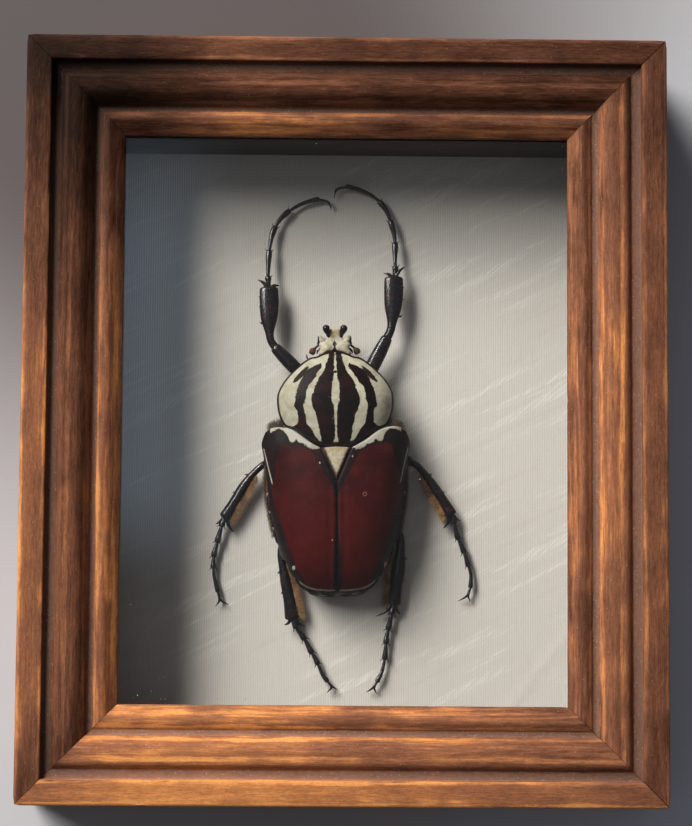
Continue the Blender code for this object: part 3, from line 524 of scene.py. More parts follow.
class Paint(Nodes):
    """A material in the making: its shader, and the nodes that feed it."""

    def __init__(self, name, **plain):
        self.material = bpy.data.materials.new(name)
        self.material.use_nodes = True
        super().__init__(self.material.node_tree)
        self.shader = self.tree.nodes["Principled BSDF"]
        for setting, value in plain.items():
            self.set(setting.replace("_", " ").title().replace("Ior", "IOR"), value)

    def set(self, socket_name, value):
        self.feed(self.shader.inputs[socket_name], value)

    def darken(self, colour, amount):
        """A colour multiplied by a number."""
        return self.node("VectorMath", {0: colour, "Scale": amount}, operation="SCALE")

    def two_tone(self, value, low, high, dark, light):
        """The dark colour where a value is low, and the light one where it is high."""
        return self.mix(self.step(value, low, high), dark, light)

    def place(self, origin=(0, 0, 0), turn=0.0, stretch=(1, 1, 1)):
        """Places on the piece in millimetres from an origin, turned about Z and divided by a stretch."""
        sockets = {
            "Vector": self.node("TexCoord", output="Object"),
            "Location": Vector(origin) * MM,
            "Rotation": (0.0, 0.0, turn),
            "Scale": Vector(stretch) * MM,
        }
        return self.node("Mapping", sockets, vector_type="TEXTURE")

    def body_place(self, stretch=(1, 1, 1)):
        """Places in the beetle's own axes."""
        return self.place(BODY_ORIGIN, BODY_TURN, stretch)

    def own(self, name, output="Vector"):
        """An attribute that the piece carries."""
        return self.node("Attribute", output=output, attribute_name=name)

    def noise(self, where, scale, detail=4.0, roughness=0.55, **more):
        sockets = {"Vector": where, "Scale": scale, "Detail": detail, "Roughness": roughness}
        sockets |= {name.title(): value for name, value in more.items()}
        return self.node("TexNoise", sockets)

    def stretched_noise(self, stretch, detail=4.0, roughness=0.55, origin=(0, 0, 0), turn=0.0, **more):
        """Noise whose clouds have the size of the stretch, in millimetres."""
        return self.noise(self.place(origin, turn, stretch), 1.0, detail, roughness, **more)

    def specks(self, where, scale, reach):
        """Small round spots, one near each point of a scattered set, as a mask."""
        away = self.node("TexVoronoi", {"Vector": where, "Scale": scale}, output="Distance")
        return self.step(away, reach, reach * 0.4)

    def curve(self, value, points, reach):
        """The height of a line through (place, height) points, where heights run from 0 to reach."""
        first, last = points[0][0], points[-1][0]
        span = last - first
        shape = [((place - first) / span, height / reach) for place, height in points]
        share = self.node("FloatCurve", {"Value": (value - first) / span}, points=shape)
        return share * reach

    def bump(self, height, distance, strength=1.0, onto=None):
        """Relief of a height from 0 to 1 that stands a distance in millimetres."""
        sockets = {"Height": height, "Distance": distance * MM, "Strength": strength}
        if onto:
            sockets["Normal"] = onto
        return self.node("Bump", sockets)


def smooth_line(points, samples):
    """Samples spread evenly along a curve that passes through the points."""
    points = [Vector(p) for p in points]
    guarded = [points[0] * 2 - points[1]] + points + [points[-1] * 2 - points[-2]]
    line = []
    for k in range(samples):
        along = k / (samples - 1) * (len(points) - 1)
        i = min(int(along), len(points) - 2)
        t = along - i
        before, start, end, after = guarded[i : i + 4]
        line.append(
            0.5
            * (
                2 * start
                + (end - before) * t
                + (2 * before - 5 * start + 4 * end - after) * t**2
                + (3 * start - before - 3 * end + after) * t**3
            )
        )
    return line


def along_stations(stations, place):
    """The value at a place on a smooth line through (place, value) stations, in rising order of place."""
    places, values = zip(*stations)
    slopes = np.gradient(values, places)
    i = int(np.clip(np.searchsorted(places, place, side="right") - 1, 0, len(places) - 2))
    span = places[i + 1] - places[i]
    t = min(max((place - places[i]) / span, 0.0), 1.0)
    return float(
        (1 + 2 * t) * (1 - t) ** 2 * values[i]
        + t * (1 - t) ** 2 * span * slopes[i]
        + t**2 * (3 - 2 * t) * values[i + 1]
        + t**2 * (t - 1) * span * slopes[i + 1]
    )


def skin(body, rows, closed=True):
    """Lays a grid over rows of equally many points. Closed rows run round and meet."""
    rows = np.asarray(rows, float)
    if closed:
        rows = np.concatenate([rows, rows[:, :1]], axis=1)
    along, across = rows.shape[0] - 1, rows.shape[1] - 1
    grid = bmesh.ops.create_grid(body, x_segments=across, y_segments=along, size=0.5)
    for vertex in grid["verts"]:
        column = round((vertex.co.x + 0.5) * across)
        row = round((vertex.co.y + 0.5) * along)
        vertex.co = rows[row, column]
    return grid["verts"]


def turn_outwards(body):
    """Turns the faces of each closed shape outwards."""
    bmesh.ops.recalc_face_normals(body, faces=body.faces)
    left = set(body.faces)
    while left:
        shape = [left.pop()]
        volume = 0.0
        for face in shape:
            first, *others = [vertex.co for vertex in face.verts]
            for one, other in zip(others, others[1:]):
                volume += first.dot(one.cross(other))
            for edge in face.edges:
                for neighbour in edge.link_faces:
                    if neighbour in left:
                        left.remove(neighbour)
                        shape.append(neighbour)
        if volume < 0:
            bmesh.ops.reverse_faces(body, faces=shape)


def close_up(body, reach=0.002):
    """Joins the seams and poles of a shape and turns its faces outwards."""
    bmesh.ops.remove_doubles(body, verts=body.verts, dist=reach)
    turn_outwards(body)


def add_piece(name, body, paint, stands_for=(), on_beetle=False, crease=40.0):
    """Makes a piece of a shape in millimetres and fixes it to the frame."""
    if on_beetle:
        bmesh.ops.transform(body, matrix=BEETLE_PLACE, verts=body.verts)
    close_up(body)
    bmesh.ops.scale(body, vec=(MM, MM, MM), verts=body.verts)
    mesh = bpy.data.meshes.new(name)
    body.to_mesh(mesh)
    body.free()
    mesh.shade_smooth()
    mesh.set_sharp_from_angle(angle=math.radians(crease))
    mesh.materials.append(paint.material)
    piece = bpy.data.objects.new(name, mesh)
    bpy.context.scene.collection.objects.link(piece)
    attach(piece, "root")
    if stands_for:
        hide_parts(*stands_for)
    return piece


BEETLE_PLACE = Matrix.Translation(BODY_ORIGIN) @ Matrix.Rotation(BODY_TURN, 4, "Z")


def add_limb(body, path, widths, heights=None, around=16, along=24, squareness=2.0, ridges=0.0):
    """Adds a round-ended limb along a smooth line, with widths across it and heights upwards."""
    line = np.array(smooth_line(path, LINE_SAMPLES))
    steps = np.linalg.norm(np.diff(line, axis=0), axis=1)
    travelled = np.concatenate([[0.0], np.cumsum(steps)])
    length = travelled[-1]
    wide, tall = [
        np.array(smooth_line([(size, 0, 0) for size in sizes], LINE_SAMPLES))[:, 0]
        for sizes in (widths, heights or widths)
    ]
    tangents = np.gradient(line, travelled, axis=0)
    first_cap = min(tall[0] * 0.5, length * 0.3)
    last_cap = min(tall[-1] * 0.5, length * 0.3)
    turns = np.linspace(0, math.pi / 2, 5)
    stations = [(first_cap * (1 - math.cos(turn)), math.sin(turn)) for turn in turns]
    middle = np.linspace(first_cap, length - last_cap, max(along - 8, 3))[1:-1]
    stations += [(place, 1.0) for place in middle]
    stations += [
        (length - last_cap * (1 - math.cos(turn)), math.sin(turn)) for turn in reversed(turns)
    ]
    rings = []
    for place, scale in stations:
        share = place / length * (LINE_SAMPLES - 1)
        centre = Vector([np.interp(place, travelled, line[:, k]) for k in range(3)])
        tangent = Vector([np.interp(place, travelled, tangents[:, k]) for k in range(3)])
        tangent.normalize()
        across = tangent.cross(Vector((0, 0, 1))).normalized()
        up = across.cross(tangent)
        half_width = np.interp(share, range(LINE_SAMPLES), wide) / 2 * scale
        half_height = np.interp(share, range(LINE_SAMPLES), tall) / 2 * scale
        ring = []
        for j in range(around):
            turn = math.tau * j / around
            c, s = math.cos(turn), math.sin(turn)
            out = 1.0 + ridges * math.cos(4 * turn)
            c = math.copysign(abs(c) ** (2 / squareness), c) * out
            s = math.copysign(abs(s) ** (2 / squareness), s) * out
            ring.append(centre + across * half_width * c + up * half_height * s)
        rings.append(ring)
    return skin(body, rings)


def add_hair(body, root, direction, length, width):
    """Adds one tapering hair."""
    turn = direction.to_track_quat("Z", "Y").to_matrix().to_4x4()
    place = Matrix.Translation(root + direction.normalized() * length / 2) @ turn
    bmesh.ops.create_cone(
        body,
        cap_ends=True,
        segments=3,
        radius1=width / 2,
        radius2=width / 12,
        depth=length,
        matrix=place,
    )


def wobble(amount):
    return Vector([rng.uniform(-amount, amount) for _ in range(3)])


def dome(x, half_width, edge, crown):
    """Height of a shell's arched section at x."""
    reach = min(abs(x) / half_width, 1.0)
    return edge + (crown - edge) * math.sqrt(1 - reach**SHELL_SQUARENESS)


def pronotum_height(x, y):
    crown = along_stations(PRONOTUM_CROWN, y)
    return dome(x, along_stations(PRONOTUM_SIDE, y), PRONOTUM_RIM, crown)


def elytra_height(x, y):
    crown = along_stations(ELYTRA_CROWN, y)
    edge = along_stations(ELYTRA_EDGE, y)
    return dome(x, along_stations(ELYTRA_HALF_WIDTH, y), edge, crown)


def mirrored(side, points):
    """Points of the right side, put on the side whose sign is given."""
    return [(side * x, y, z) for x, y, z in points]


def both_halves(right):
    """A closed ring from its right half, whose ends lie on the middle plane."""
    return right + [Vector(point) for point in mirrored(-1, reversed(right[1:-1]))]


def whole_outline(half, samples):
    """A closed outline from its right half, which runs from the front to the rear."""
    return both_halves(smooth_line([(x, y, 0.0) for x, y in half], samples))


def flat_ring(outline, centre, scale, height):
    """The outline scaled about its centre, at one height."""
    return [centre + (point - centre) * scale + Vector((0, 0, height)) for point in outline]


def centre_of(points):
    return sum((Vector(p) for p in points), Vector()) / len(points)


def skin_with_ends(body, rings):
    """Lays a skin over rings and closes it with a point at each end."""
    first, last = [[centre_of(ring)] * len(ring) for ring in (rings[0], rings[-1])]
    skin(body, [first, *rings, last])


def hill(*offsets):
    """A round hill of height 1, from (distance, reach) along one or two axes."""
    return math.exp(-sum((distance / reach) ** 2 for distance, reach in offsets))


def value_at(values, share):
    """The value at a share of the way through evenly spread values."""
    return float(np.interp(share, np.linspace(0, 1, len(values)), values))


# Finishes


def rail_paint():
    """Stained pine: reddish brown, golden on its ridges from wear and painted highlight, with dust in its
    hollows. Its tone along each rail is partly stain and partly painted shade and light, and its hollows are
    painted darker as shade.
    """
    paint = Paint("stained_wood", specular_ior_level=0.2, specular_tint=(1.0, 0.72, 0.54))
    grain = paint.own("grain")
    # Tone of the wood along the rails: partly stain, partly painted shade and light
    stain_and_shade = paint.own("stain_and_shade", output="Fac")
    _, depth, _ = paint.parts(grain)

    def along_grain(stretch, *details, **more):
        sockets = {0: grain, 1: [1 / size for size in stretch]}
        where = paint.node("VectorMath", sockets, operation="MULTIPLY")
        return paint.noise(where, 1.0, *details, **more)

    streaks = along_grain((30, 1.6, 1.6), 5, 0.6, distortion=0.6)
    fibres = along_grain((4.5, 0.5, 0.5), 4, 0.65)
    clouds = along_grain((16, 7, 7), 3, 0.5)
    grime = along_grain((2.2, 1.0, 1.0), 6, 0.7)
    crest = paint.curve(
        depth,
        (
            (0.0, 0.1), (0.25, 0.9), (1.4, 0.45), (3.5, 0.18), (6.4, 0.3), (7.4, 0.7), (8.1, 0.3),
            (9.0, 0.0), (13.2, 0.35), (14.4, 0.8), (15.8, 0.35), (19.2, 0.4), (20.4, 0.85), (21.4, 0.2),
            (22.6, 0.0), (23.6, 0.85), (25.0, 0.45), (27.4, 0.6), (28.6, 0.8), (30.7, 0.2),
        ),
        1.0,
    )
    hollow = paint.curve(
        depth,
        (
            (0.0, 0.0), (7.8, 0.0), (8.5, 1.0), (10.8, 0.75), (11.6, 0.15), (13.0, 0.05), (20.4, 0.05),
            (21.4, 0.8), (22.8, 0.9), (23.5, 0.15), (28.6, 0.1), (30.7, 0.8),
        ),
        1.0,
    )
    grains = along_grain((1.3, 0.7, 0.7), 5, 0.8)
    lines = paint.step(along_grain((26, 0.55, 0.55), 2), 0.6, 0.72)
    # Ridges lighter and more golden: partly real wear, partly painted highlight. Away from the ridges the
    # wood is painted darker, as shade in the hollows
    wear_and_highlight = paint.step(crest * 0.8 + streaks * 1.3 + clouds * 0.9 - 1.4, 0.0, 0.55)
    tone = stain_and_shade + (streaks - 0.5) * 0.3 + (fibres - 0.5) * 0.5 + (clouds - 0.5) * 0.35 - lines * 0.04
    tone = tone + wear_and_highlight * (stain_and_shade * 0.42 + 0.04) - (1.0 - crest) * stain_and_shade * 0.08
    wood = paint.node(
        "ValToRGB",
        {"Fac": tone},
        stops=(
            (0.0, tint(28, 14, 9)), (1.0, tint(222, 148, 84)), (0.2, tint(64, 36, 25)),
            (0.36, tint(92, 57, 41)), (0.53, tint(124, 79, 57)), (0.68, tint(152, 97, 65)),
            (0.82, tint(184, 118, 70)),
        ),
    )
    corner = paint.step(paint.own("mitre", output="Fac") + grime * 9 - hollow * 2, 8.5, 2.5)
    dust = paint.step(paint.biggest(hollow * 0.9, corner * 0.6) + grime - 0.9, 0.0, 0.5)
    # Dust and pale flecks, darkened along with the painted shade in the wood's tone
    wood = paint.mix(dust * 0.75, wood, paint.darken(tint(180, 140, 122), stain_and_shade * 0.8 + 0.06))
    flecks = paint.specks(grain, 0.8, 0.2) * paint.step(grime + hollow * 0.2, 0.5, 0.62)
    wood = paint.mix(flecks * 0.6, wood, paint.darken(tint(226, 206, 184), stain_and_shade * 0.9 + 0.06))
    # Hollows painted 12% darker, as shade, and a fine granular mottle
    wood = paint.darken(wood, (1.0 - hollow * 0.12) * (0.45 + grains * 1.1))
    paint.set("Base Color", wood)
    paint.set("Roughness", 0.46 + dust * 0.3 + grime * 0.15)
    pores = paint.bump(fibres, 0.08, 0.8)
    paint.set("Normal", paint.bump(grime, 0.18, 0.6, onto=pores))
    return paint


def plain_wood_paint(name, dark, light, along):
    """Sawn wood with its grain along one axis."""
    paint = Paint(name, specular_ior_level=0.3)
    stretch = (26, 1.2, 1.2) if along == "x" else (1.2, 26, 1.2)
    grain = paint.stretched_noise(stretch, 5, 0.6, distortion=0.4)
    rough = paint.stretched_noise((1.5, 1.5, 1.5), 5, 0.7)
    wood = paint.two_tone(grain, 0.3, 0.7, dark, light)
    paint.set("Base Color", paint.darken(wood, 0.7 + rough * 0.6))
    paint.set("Roughness", 0.6 + rough * 0.3)
    paint.set("Normal", paint.bump(grain + rough * 0.6, 0.12, 0.6))
    return paint


def cloth_paint():
    """Ribbed watered silk: cream, with slanting lustrous bands and short bright dashes painted in as sheen,
    and painted shade in the furrows between its ribs.
    """
    paint = Paint("watered_silk", sheen_weight=0.25, sheen_roughness=0.4, specular_ior_level=0.35)
    place = paint.place()
    x, y, _ = paint.parts(place)
    rib = paint.maths("COSINE", x * (math.tau / RIB_PITCH)) * 0.5 + 0.5
    bands = paint.stretched_noise((48, 3.6, 5), 3, 0.55, turn=math.radians(26), distortion=0.3)
    hatching = paint.stretched_noise((9, 0.55, 1), 2, turn=math.radians(42))
    patches = paint.stretched_noise((52, 40, 1), 1, origin=(20, 60, 0))
    # The watered bands' lustre is painted sheen: lighter bands and dashes, and darker bands between them
    lit = paint.step(bands, 0.52, 0.62) * paint.step(patches, 0.4, 0.56)
    threads = paint.stretched_noise((0.5, 9, 1), 3, 0.6)
    slubs = paint.stretched_noise((0.9, 1.6, 1), 4, 0.6)
    clouds = paint.stretched_noise((40, 60, 1), 2)
    silk = paint.mix(clouds, tint(216, 210, 202), tint(223, 217, 209))
    silk = paint.mix(lit * 0.1 + lit * paint.step(hatching, 0.45, 0.6) * 0.4, silk, tint(252, 248, 240))
    silk = paint.mix(paint.step(bands, 0.42, 0.3) * 0.16, silk, tint(206, 190, 172))
    # The furrows between the ribs are painted darker, as shade, and the threads and slubs vary in tone
    silk = paint.darken(silk, 0.8 + rib * 0.13 + threads * 0.12 + slubs * 0.06)
    specks = paint.specks(place, 0.022, 0.011)
    silk = paint.mix(specks * 0.8, silk, tint(70, 62, 56))
    paint.set("Base Color", silk)
    paint.set("Roughness", 0.5 + threads * 0.2 - lit * 0.12)
    paint.set("Normal", paint.bump(threads + rib * 0.5 + slubs * 0.5, 0.05, 0.5))
    return paint


def glass_paint():
    """Clear glass. Light to and from the beetle passes straight through it."""
    paint = Paint("clear_glass", transmission_weight=1.0, roughness=0.0, ior=1.5)
    paint.set("Base Color", (0.98, 1.0, 0.99))
    to_lamps = paint.node("LightPath", output="Is Shadow Ray")
    soft, glossy, passed = [
        Value(paint, to_lamps.socket.node.outputs[name])
        for name in ("Is Diffuse Ray", "Is Glossy Ray", "Transparent Depth")
    ]
    within = paint.node("NewGeometry", output="Backfacing")
    from_beetle = glossy * paint.biggest(1.0 - within, paint.maths("MINIMUM", passed, 1.0))
    straight = paint.biggest(paint.biggest(to_lamps, soft), from_beetle)
    clear = paint.node("BsdfTransparent")
    both = paint.node("MixShader", {0: straight, 1: Value(paint, paint.shader.outputs[0]), 2: clear})
    paint.feed(paint.tree.nodes["Material Output"].inputs["Surface"], both)
    return paint


def board_paint(name, dark, light, size):
    """Pressed fibres."""
    paint = Paint(name, specular_ior_level=0.25)
    fibres = paint.stretched_noise((size, size * 0.5, size), 6, 0.7, distortion=1.0)
    clouds = paint.stretched_noise((18, 18, 18), 3)
    colour = paint.two_tone(fibres, 0.35, 0.65, dark, light)
    paint.set("Base Color", paint.darken(colour, 0.8 + clouds * 0.4))
    paint.set("Roughness", 0.7 + fibres * 0.2)
    paint.set("Normal", paint.bump(fibres, 0.08, 0.6))
    return paint


def steel_paint():
    """Dull zinc plate with brushed marks and a little tarnish."""
    paint = Paint("zinc_plate")
    brushed = paint.stretched_noise((6, 0.25, 1), 3)
    tarnish = paint.step(paint.stretched_noise((3, 3, 3), 5, 0.65), 0.5, 0.75)
    paint.set("Base Color", paint.mix(tarnish, tint(176, 176, 172), tint(112, 98, 84)))
    paint.set("Metallic", 0.95 - tarnish * 0.4)
    paint.set("Roughness", 0.28 + brushed * 0.2 + tarnish * 0.3)
    paint.set("Normal", paint.bump(brushed, 0.02, 0.4))
    return paint


def black_chitin_paint(name, brown, gloss=0.2):
    """Glossy black with a red-brown cast and fine punctures."""
    paint = Paint(name, specular_ior_level=0.4, coat_roughness=0.16)
    place = paint.place()
    clouds = paint.noise(place, 0.35, 4, 0.6)
    fine = paint.noise(place, 2.2, 4, 0.6)
    pits = paint.specks(place, 1.7, 0.3)
    black = paint.mix(paint.step(clouds, 0.45, 0.75) * brown, tint(23, 20, 24), tint(74, 34, 24))
    dusty = paint.step(fine * 0.6 + clouds * 0.5, 0.6, 0.8)
    paint.set("Base Color", paint.mix(dusty * 0.35, black, tint(92, 84, 86)))
    paint.set("Roughness", 0.24 + dusty * 0.3 + pits * 0.15)
    paint.set("Coat Weight", (1.0 - dusty * 0.9) * gloss)
    rough = paint.bump(fine, 0.05, 0.5)
    paint.set("Normal", paint.bump(1.0 - pits, 0.06, 0.5, onto=rough))
    return paint


def brown_chitin_paint(name, dark, light):
    paint = Paint(name, specular_ior_level=0.4)
    place = paint.place()
    clouds = paint.noise(place, 0.8, 5, 0.6)
    fine = paint.noise(place, 4.0, 3, 0.6)
    paint.set("Base Color", paint.two_tone(clouds, 0.35, 0.65, dark, light))
    paint.set("Roughness", 0.4 + fine * 0.3)
    paint.set("Normal", paint.bump(fine, 0.05, 0.5))
    return paint


def hair_paint(name, dark, light):
    """Hair that varies along and between its strands."""
    paint = Paint(name, sheen_weight=0.3, specular_ior_level=0.3)
    place = paint.place()
    strands = paint.noise(place, 1.6, 3, 0.6)
    tufts = paint.noise(place, 0.3, 3, 0.5)
    paint.set("Base Color", paint.mix(paint.step(strands * 0.6 + tufts * 0.5, 0.4, 0.7), dark, light))
    paint.set("Roughness", 0.55 + strands * 0.2)
    return paint


def pronotum_paint():
    """Cream with four black bands and a thin black rim, its cream painted darker on the left and lighter on
    the right as shade and light.
    """
    paint = Paint("striped_shield", specular_ior_level=0.1)
    place = paint.body_place()
    wander = paint.noise(place, 0.55, 4, 0.6) - 0.5
    quiver = paint.noise(place, 1.4, 5, 0.75) - 0.5
    x, y, _ = paint.parts(place)
    across = paint.size_of(x) + wander * 1.1 + quiver * 1.5
    edge = 0.1
    along = y + wander * 0.6

    def inside(line, reach):
        return paint.step(paint.curve(along, line, reach) - across, -edge, edge)

    median = inside(MEDIAN_LINE, 2.0)
    middle = inside(DARK_MIDDLE, 10.0)
    stripe = inside(CREAM_STRIPE, 12.0)
    side = inside(DARK_SIDE, 25.0)
    ends = paint.step(along, 1.4, 2.4)
    dark = paint.biggest(middle, side - stripe * ends)
    dark = dark - median * paint.step(along, 1.2, 1.7)
    spot_x = (across - 10.8) * 0.68 - (y - 23.3) * 0.735
    spot_y = (across - 10.8) * 0.735 + (y - 23.3) * 0.68
    spot = paint.maths("SQRT", spot_x * spot_x / 11.5 + spot_y * spot_y / 0.62)
    dark = paint.biggest(dark, paint.step(spot, 1.15, 0.95) * 0.98)
    dot = paint.distance(x, y, (0.0, 23.85))
    dark = paint.biggest(dark, paint.step(dot, 0.6, 0.4))
    rim = paint.own("edge", output="Fac")
    dark = paint.biggest(dark, paint.step(rim + quiver * 0.2, 0.75, 0.5))
    dark = paint.node("Clamp", {"Value": dark})

    blotches = paint.noise(place, 0.4, 4, 0.6)
    cream = paint.two_tone(blotches, 0.35, 0.7, tint(194, 189, 168), tint(170, 163, 140))
    stains = paint.step(paint.noise(place, 0.7, 6, 0.75), 0.55, 0.72)
    cream = paint.mix(stains * 0.55, cream, tint(150, 124, 78))
    cream = paint.mix(paint.specks(place, 0.5, 0.12) * 0.5, cream, tint(96, 72, 48))
    black = paint.two_tone(blotches, 0.4, 0.7, tint(14, 10, 11), tint(40, 15, 14))
    # Painted shade on the left and painted light on the right, which even out how the lamps light the dome
    cream = paint.darken(cream, 0.75 + paint.step(x, -17.0, 17.0) * 0.37)
    paint.set("Base Color", paint.mix(dark, cream, black))
    haze = paint.step(paint.noise(place, 1.2, 5, 0.65), 0.5, 0.75)
    paint.set("Roughness", 0.5 - dark * 0.06 + haze * 0.15)
    relief = paint.bump(dark * 0.5 + quiver * 0.4, 0.07, 0.6)
    pits = paint.bump(1.0 - paint.specks(place, 1.9, 0.25), 0.03, 0.5, onto=relief)
    paint.set("Normal", pits)
    return paint


def elytron_paint():
    """Deep maroon with black margins, a ragged cream band at the shoulder and cream at the tip. The maroon
    is painted darker on the left and lighter on the right, as shade and light, with a faint painted
    reflection in lilac patches.
    """
    paint = Paint("maroon_wing_case", specular_ior_level=0.09)
    place = paint.body_place()
    x, y, _ = paint.parts(place)
    wander = paint.noise(place, 0.5, 4, 0.6) - 0.5
    ragged = paint.noise(place, 1.3, 5, 0.7) - 0.5
    across = paint.size_of(x)
    edge = 0.12

    band_edge = paint.curve(across, lifted(CREAM_BAND_EDGE, 5), 12.0)
    band = paint.step(y + ragged * 2.8 - band_edge + 5, -edge, edge)
    band = band * paint.step(across, 4.9, 5.3) * paint.step(across, 20.9, 20.5)
    top = paint.curve(across + wander, lifted(MAROON_TOP, 20), 25.0) - 20
    maroon = paint.step(top - y + wander * 1.2, -0.7, 0.9)
    sides = paint.curve(y, MAROON_SIDE, 25.0)
    maroon = maroon * paint.step(sides - across + wander * 1.4, -0.5, 0.8)
    suture = paint.step(y, -25.0, -36.0) * 0.7 + 0.45
    maroon = maroon * paint.step(across - suture + wander * 0.8, -0.25, 0.35)
    maroon = maroon * paint.step(y + wander, -44.9, -44.0)

    side_line = paint.size_of(across - 22.9 - (y + 0.1) * 0.235 + 0.1)
    side_line = paint.step(side_line, 0.24, 0.12)
    side_line = side_line * paint.step(y, -11.8, -10.4) * paint.step(y, 0.3, -0.3)
    rear = paint.curve(across, lifted(ELYTRON_REAR, 50), 10.0) - 50
    tip = paint.step(paint.size_of(y - rear - 0.3 + ragged * 0.6), 0.34, 0.2)
    tip = tip * paint.step(across, 12.4, 11.6) * paint.step(across, 0.5, 1.0)
    tip = tip * paint.step(ragged, -0.14, -0.06)
    spots = paint.step(paint.distance(x, y, (-13.7, -37.7), (0.55, 0.7)) + ragged * 0.5, 1.1, 0.8)
    for centre, reach in (
        ((15.4, -37.2), (0.5, 1.2)),
        ((-5.2, -5.2), (0.25, 0.35)),
        ((5.1, -3.2), (0.25, 0.35)),
        ((-1.5, -29.4), (0.2, 0.2)),
        ((14.2, -41.0), (0.4, 0.5)),
    ):
        spot = paint.step(paint.distance(x, y, centre, reach) + ragged * 0.5, 1.1, 0.8)
        spots = paint.biggest(spots, spot)
    pale = paint.biggest(paint.biggest(band, side_line), paint.biggest(tip, spots))

    clouds = paint.noise(place, 0.16, 4, 0.55)
    redder = paint.step(y, 0.0, -42.0)
    red = paint.two_tone(clouds, 0.35, 0.7, tint(50, 13, 12), tint(70, 19, 16))
    red = paint.mix(redder * 0.5, red, tint(102, 24, 18))
    black = paint.two_tone(clouds, 0.4, 0.7, tint(20, 16, 18), tint(36, 22, 21))
    # Painted shade on the left and painted light on the right, which even out how the lamps light the wing
    # cases
    red = paint.darken(red, 0.74 + paint.step(x, -20.0, 20.0) * 0.42)
    colour = paint.mix(maroon, black, red)
    # A faint lilac haze in fine cloudy patches: painted reflection, where the surface is also rougher
    haze = paint.step(paint.noise(place, 0.45, 6, 0.72), 0.46, 0.8)
    colour = paint.mix(haze * 0.06, colour, tint(118, 98, 112))
    colour = paint.mix(paint.specks(place, 0.7, 0.09) * 0.45, colour, tint(160, 128, 124))
    cream = paint.mix(paint.step(clouds + ragged * 0.3, 0.4, 0.65), tint(172, 168, 156), tint(146, 134, 114))
    colour = paint.mix(pale, colour, cream)
    ring = paint.size_of(paint.distance(x, y, (8.8, -15.1), (0.55, 0.55)) - 1.0)
    pit = paint.step(ring, 0.35, 0.15)
    colour = paint.mix(pit * 0.5, colour, tint(170, 130, 120))
    paint.set("Base Color", colour)
    paint.set("Roughness", 0.5 + haze * 0.2 + pale * 0.1)
    velvet = paint.bump(paint.noise(place, 3.2, 4, 0.6), 0.03, 0.5)
    scratches = paint.noise(paint.body_place(stretch=(0.6, 14, 4)), 1.0, 3)
    relief = paint.bump(paint.step(scratches, 0.6, 0.68), 0.02, 0.4, onto=velvet)
    paint.set("Normal", paint.bump(pale, 0.04, 0.6, onto=relief))
    return paint


def lifted(points, lift):
    """The same line with its heights raised, so that none is below zero."""
    return tuple((place, height + lift) for place, height in points)


def scutellum_paint():
    """Cream, brown along its front and dark along its sides."""
    paint = Paint("cream_scutellum", specular_ior_level=0.4)
    place = paint.body_place()
    x, y, _ = paint.parts(place)
    ragged = paint.noise(place, 1.6, 4, 0.65) - 0.5
    clouds = paint.noise(place, 0.8, 4, 0.6)
    share = (y - SCUTELLUM_TIP) / (SCUTELLUM_FRONT - SCUTELLUM_TIP)
    side = paint.size_of(x) - share * SCUTELLUM_HALF_WIDTH
    cream = paint.two_tone(clouds, 0.35, 0.7, tint(180, 174, 152), tint(164, 148, 118))
    strokes = paint.noise(paint.body_place(stretch=(0.5, 4.0, 4.0)), 1.0, 3) - 0.5
    cream = paint.mix(paint.step(y + strokes * 7, -3.4, -0.2) * 0.7, cream, tint(142, 116, 78))
    cream = paint.mix(paint.step(side + ragged * 0.8, -1.1, -0.35), cream, tint(62, 40, 32))
    paint.set("Base Color", cream)
    paint.set("Roughness", 0.45 + clouds * 0.2)
    paint.set("Normal", paint.bump(clouds + ragged * 0.5, 0.06, 0.5))
    return paint


def head_paint():
    """Cream with a black line down the middle, darker low down and along its rear edge, and yellower towards
    the horn.
    """
    paint = Paint("cream_head", specular_ior_level=0.4)
    place = paint.body_place()
    x, y, z = paint.parts(place)
    ragged = paint.noise(place, 1.8, 4, 0.65) - 0.5
    clouds = paint.noise(place, 0.9, 4, 0.6)
    cream = paint.two_tone(clouds, 0.35, 0.7, tint(184, 178, 158), tint(162, 147, 114))
    cream = paint.mix(paint.step(y, 36.4, 38.2) * 0.6, cream, tint(196, 166, 98))
    cream = paint.mix(paint.step(ragged + clouds * 0.5, 0.42, 0.6) * 0.6, cream, tint(110, 86, 60))
    line_widths = ((29.0, 0.7), (31.7, 0.6), (32.6, 0.3), (33.4, 0.65), (34.6, 0.1), (36.0, 0.0))
    wide = paint.curve(y, line_widths, 1.0)
    line = paint.step(wide - paint.size_of(x) + ragged * 0.3, -0.12, 0.12)
    low = paint.step(z, 10.2, 8.6)
    dark = paint.biggest(line, low * 0.9)
    arch = paint.step(y + paint.size_of(x) * 0.36 + ragged * 0.3, 31.9, 31.5)
    dark = paint.biggest(dark, arch)
    paint.set("Base Color", paint.mix(dark, cream, tint(34, 27, 26)))
    paint.set("Roughness", 0.42 + clouds * 0.25)
    paint.set("Normal", paint.bump(clouds + ragged, 0.1, 0.6))
    return paint


def dust_paint():
    paint = Paint("dust", specular_ior_level=0.3)
    mottle = paint.noise(paint.place(), 0.5, 3, 0.6)
    paint.set("Base Color", paint.two_tone(mottle, 0.4, 0.6, tint(196, 196, 180), tint(150, 160, 132)))
    paint.set("Roughness", 0.5 + mottle * 0.3)
    return paint


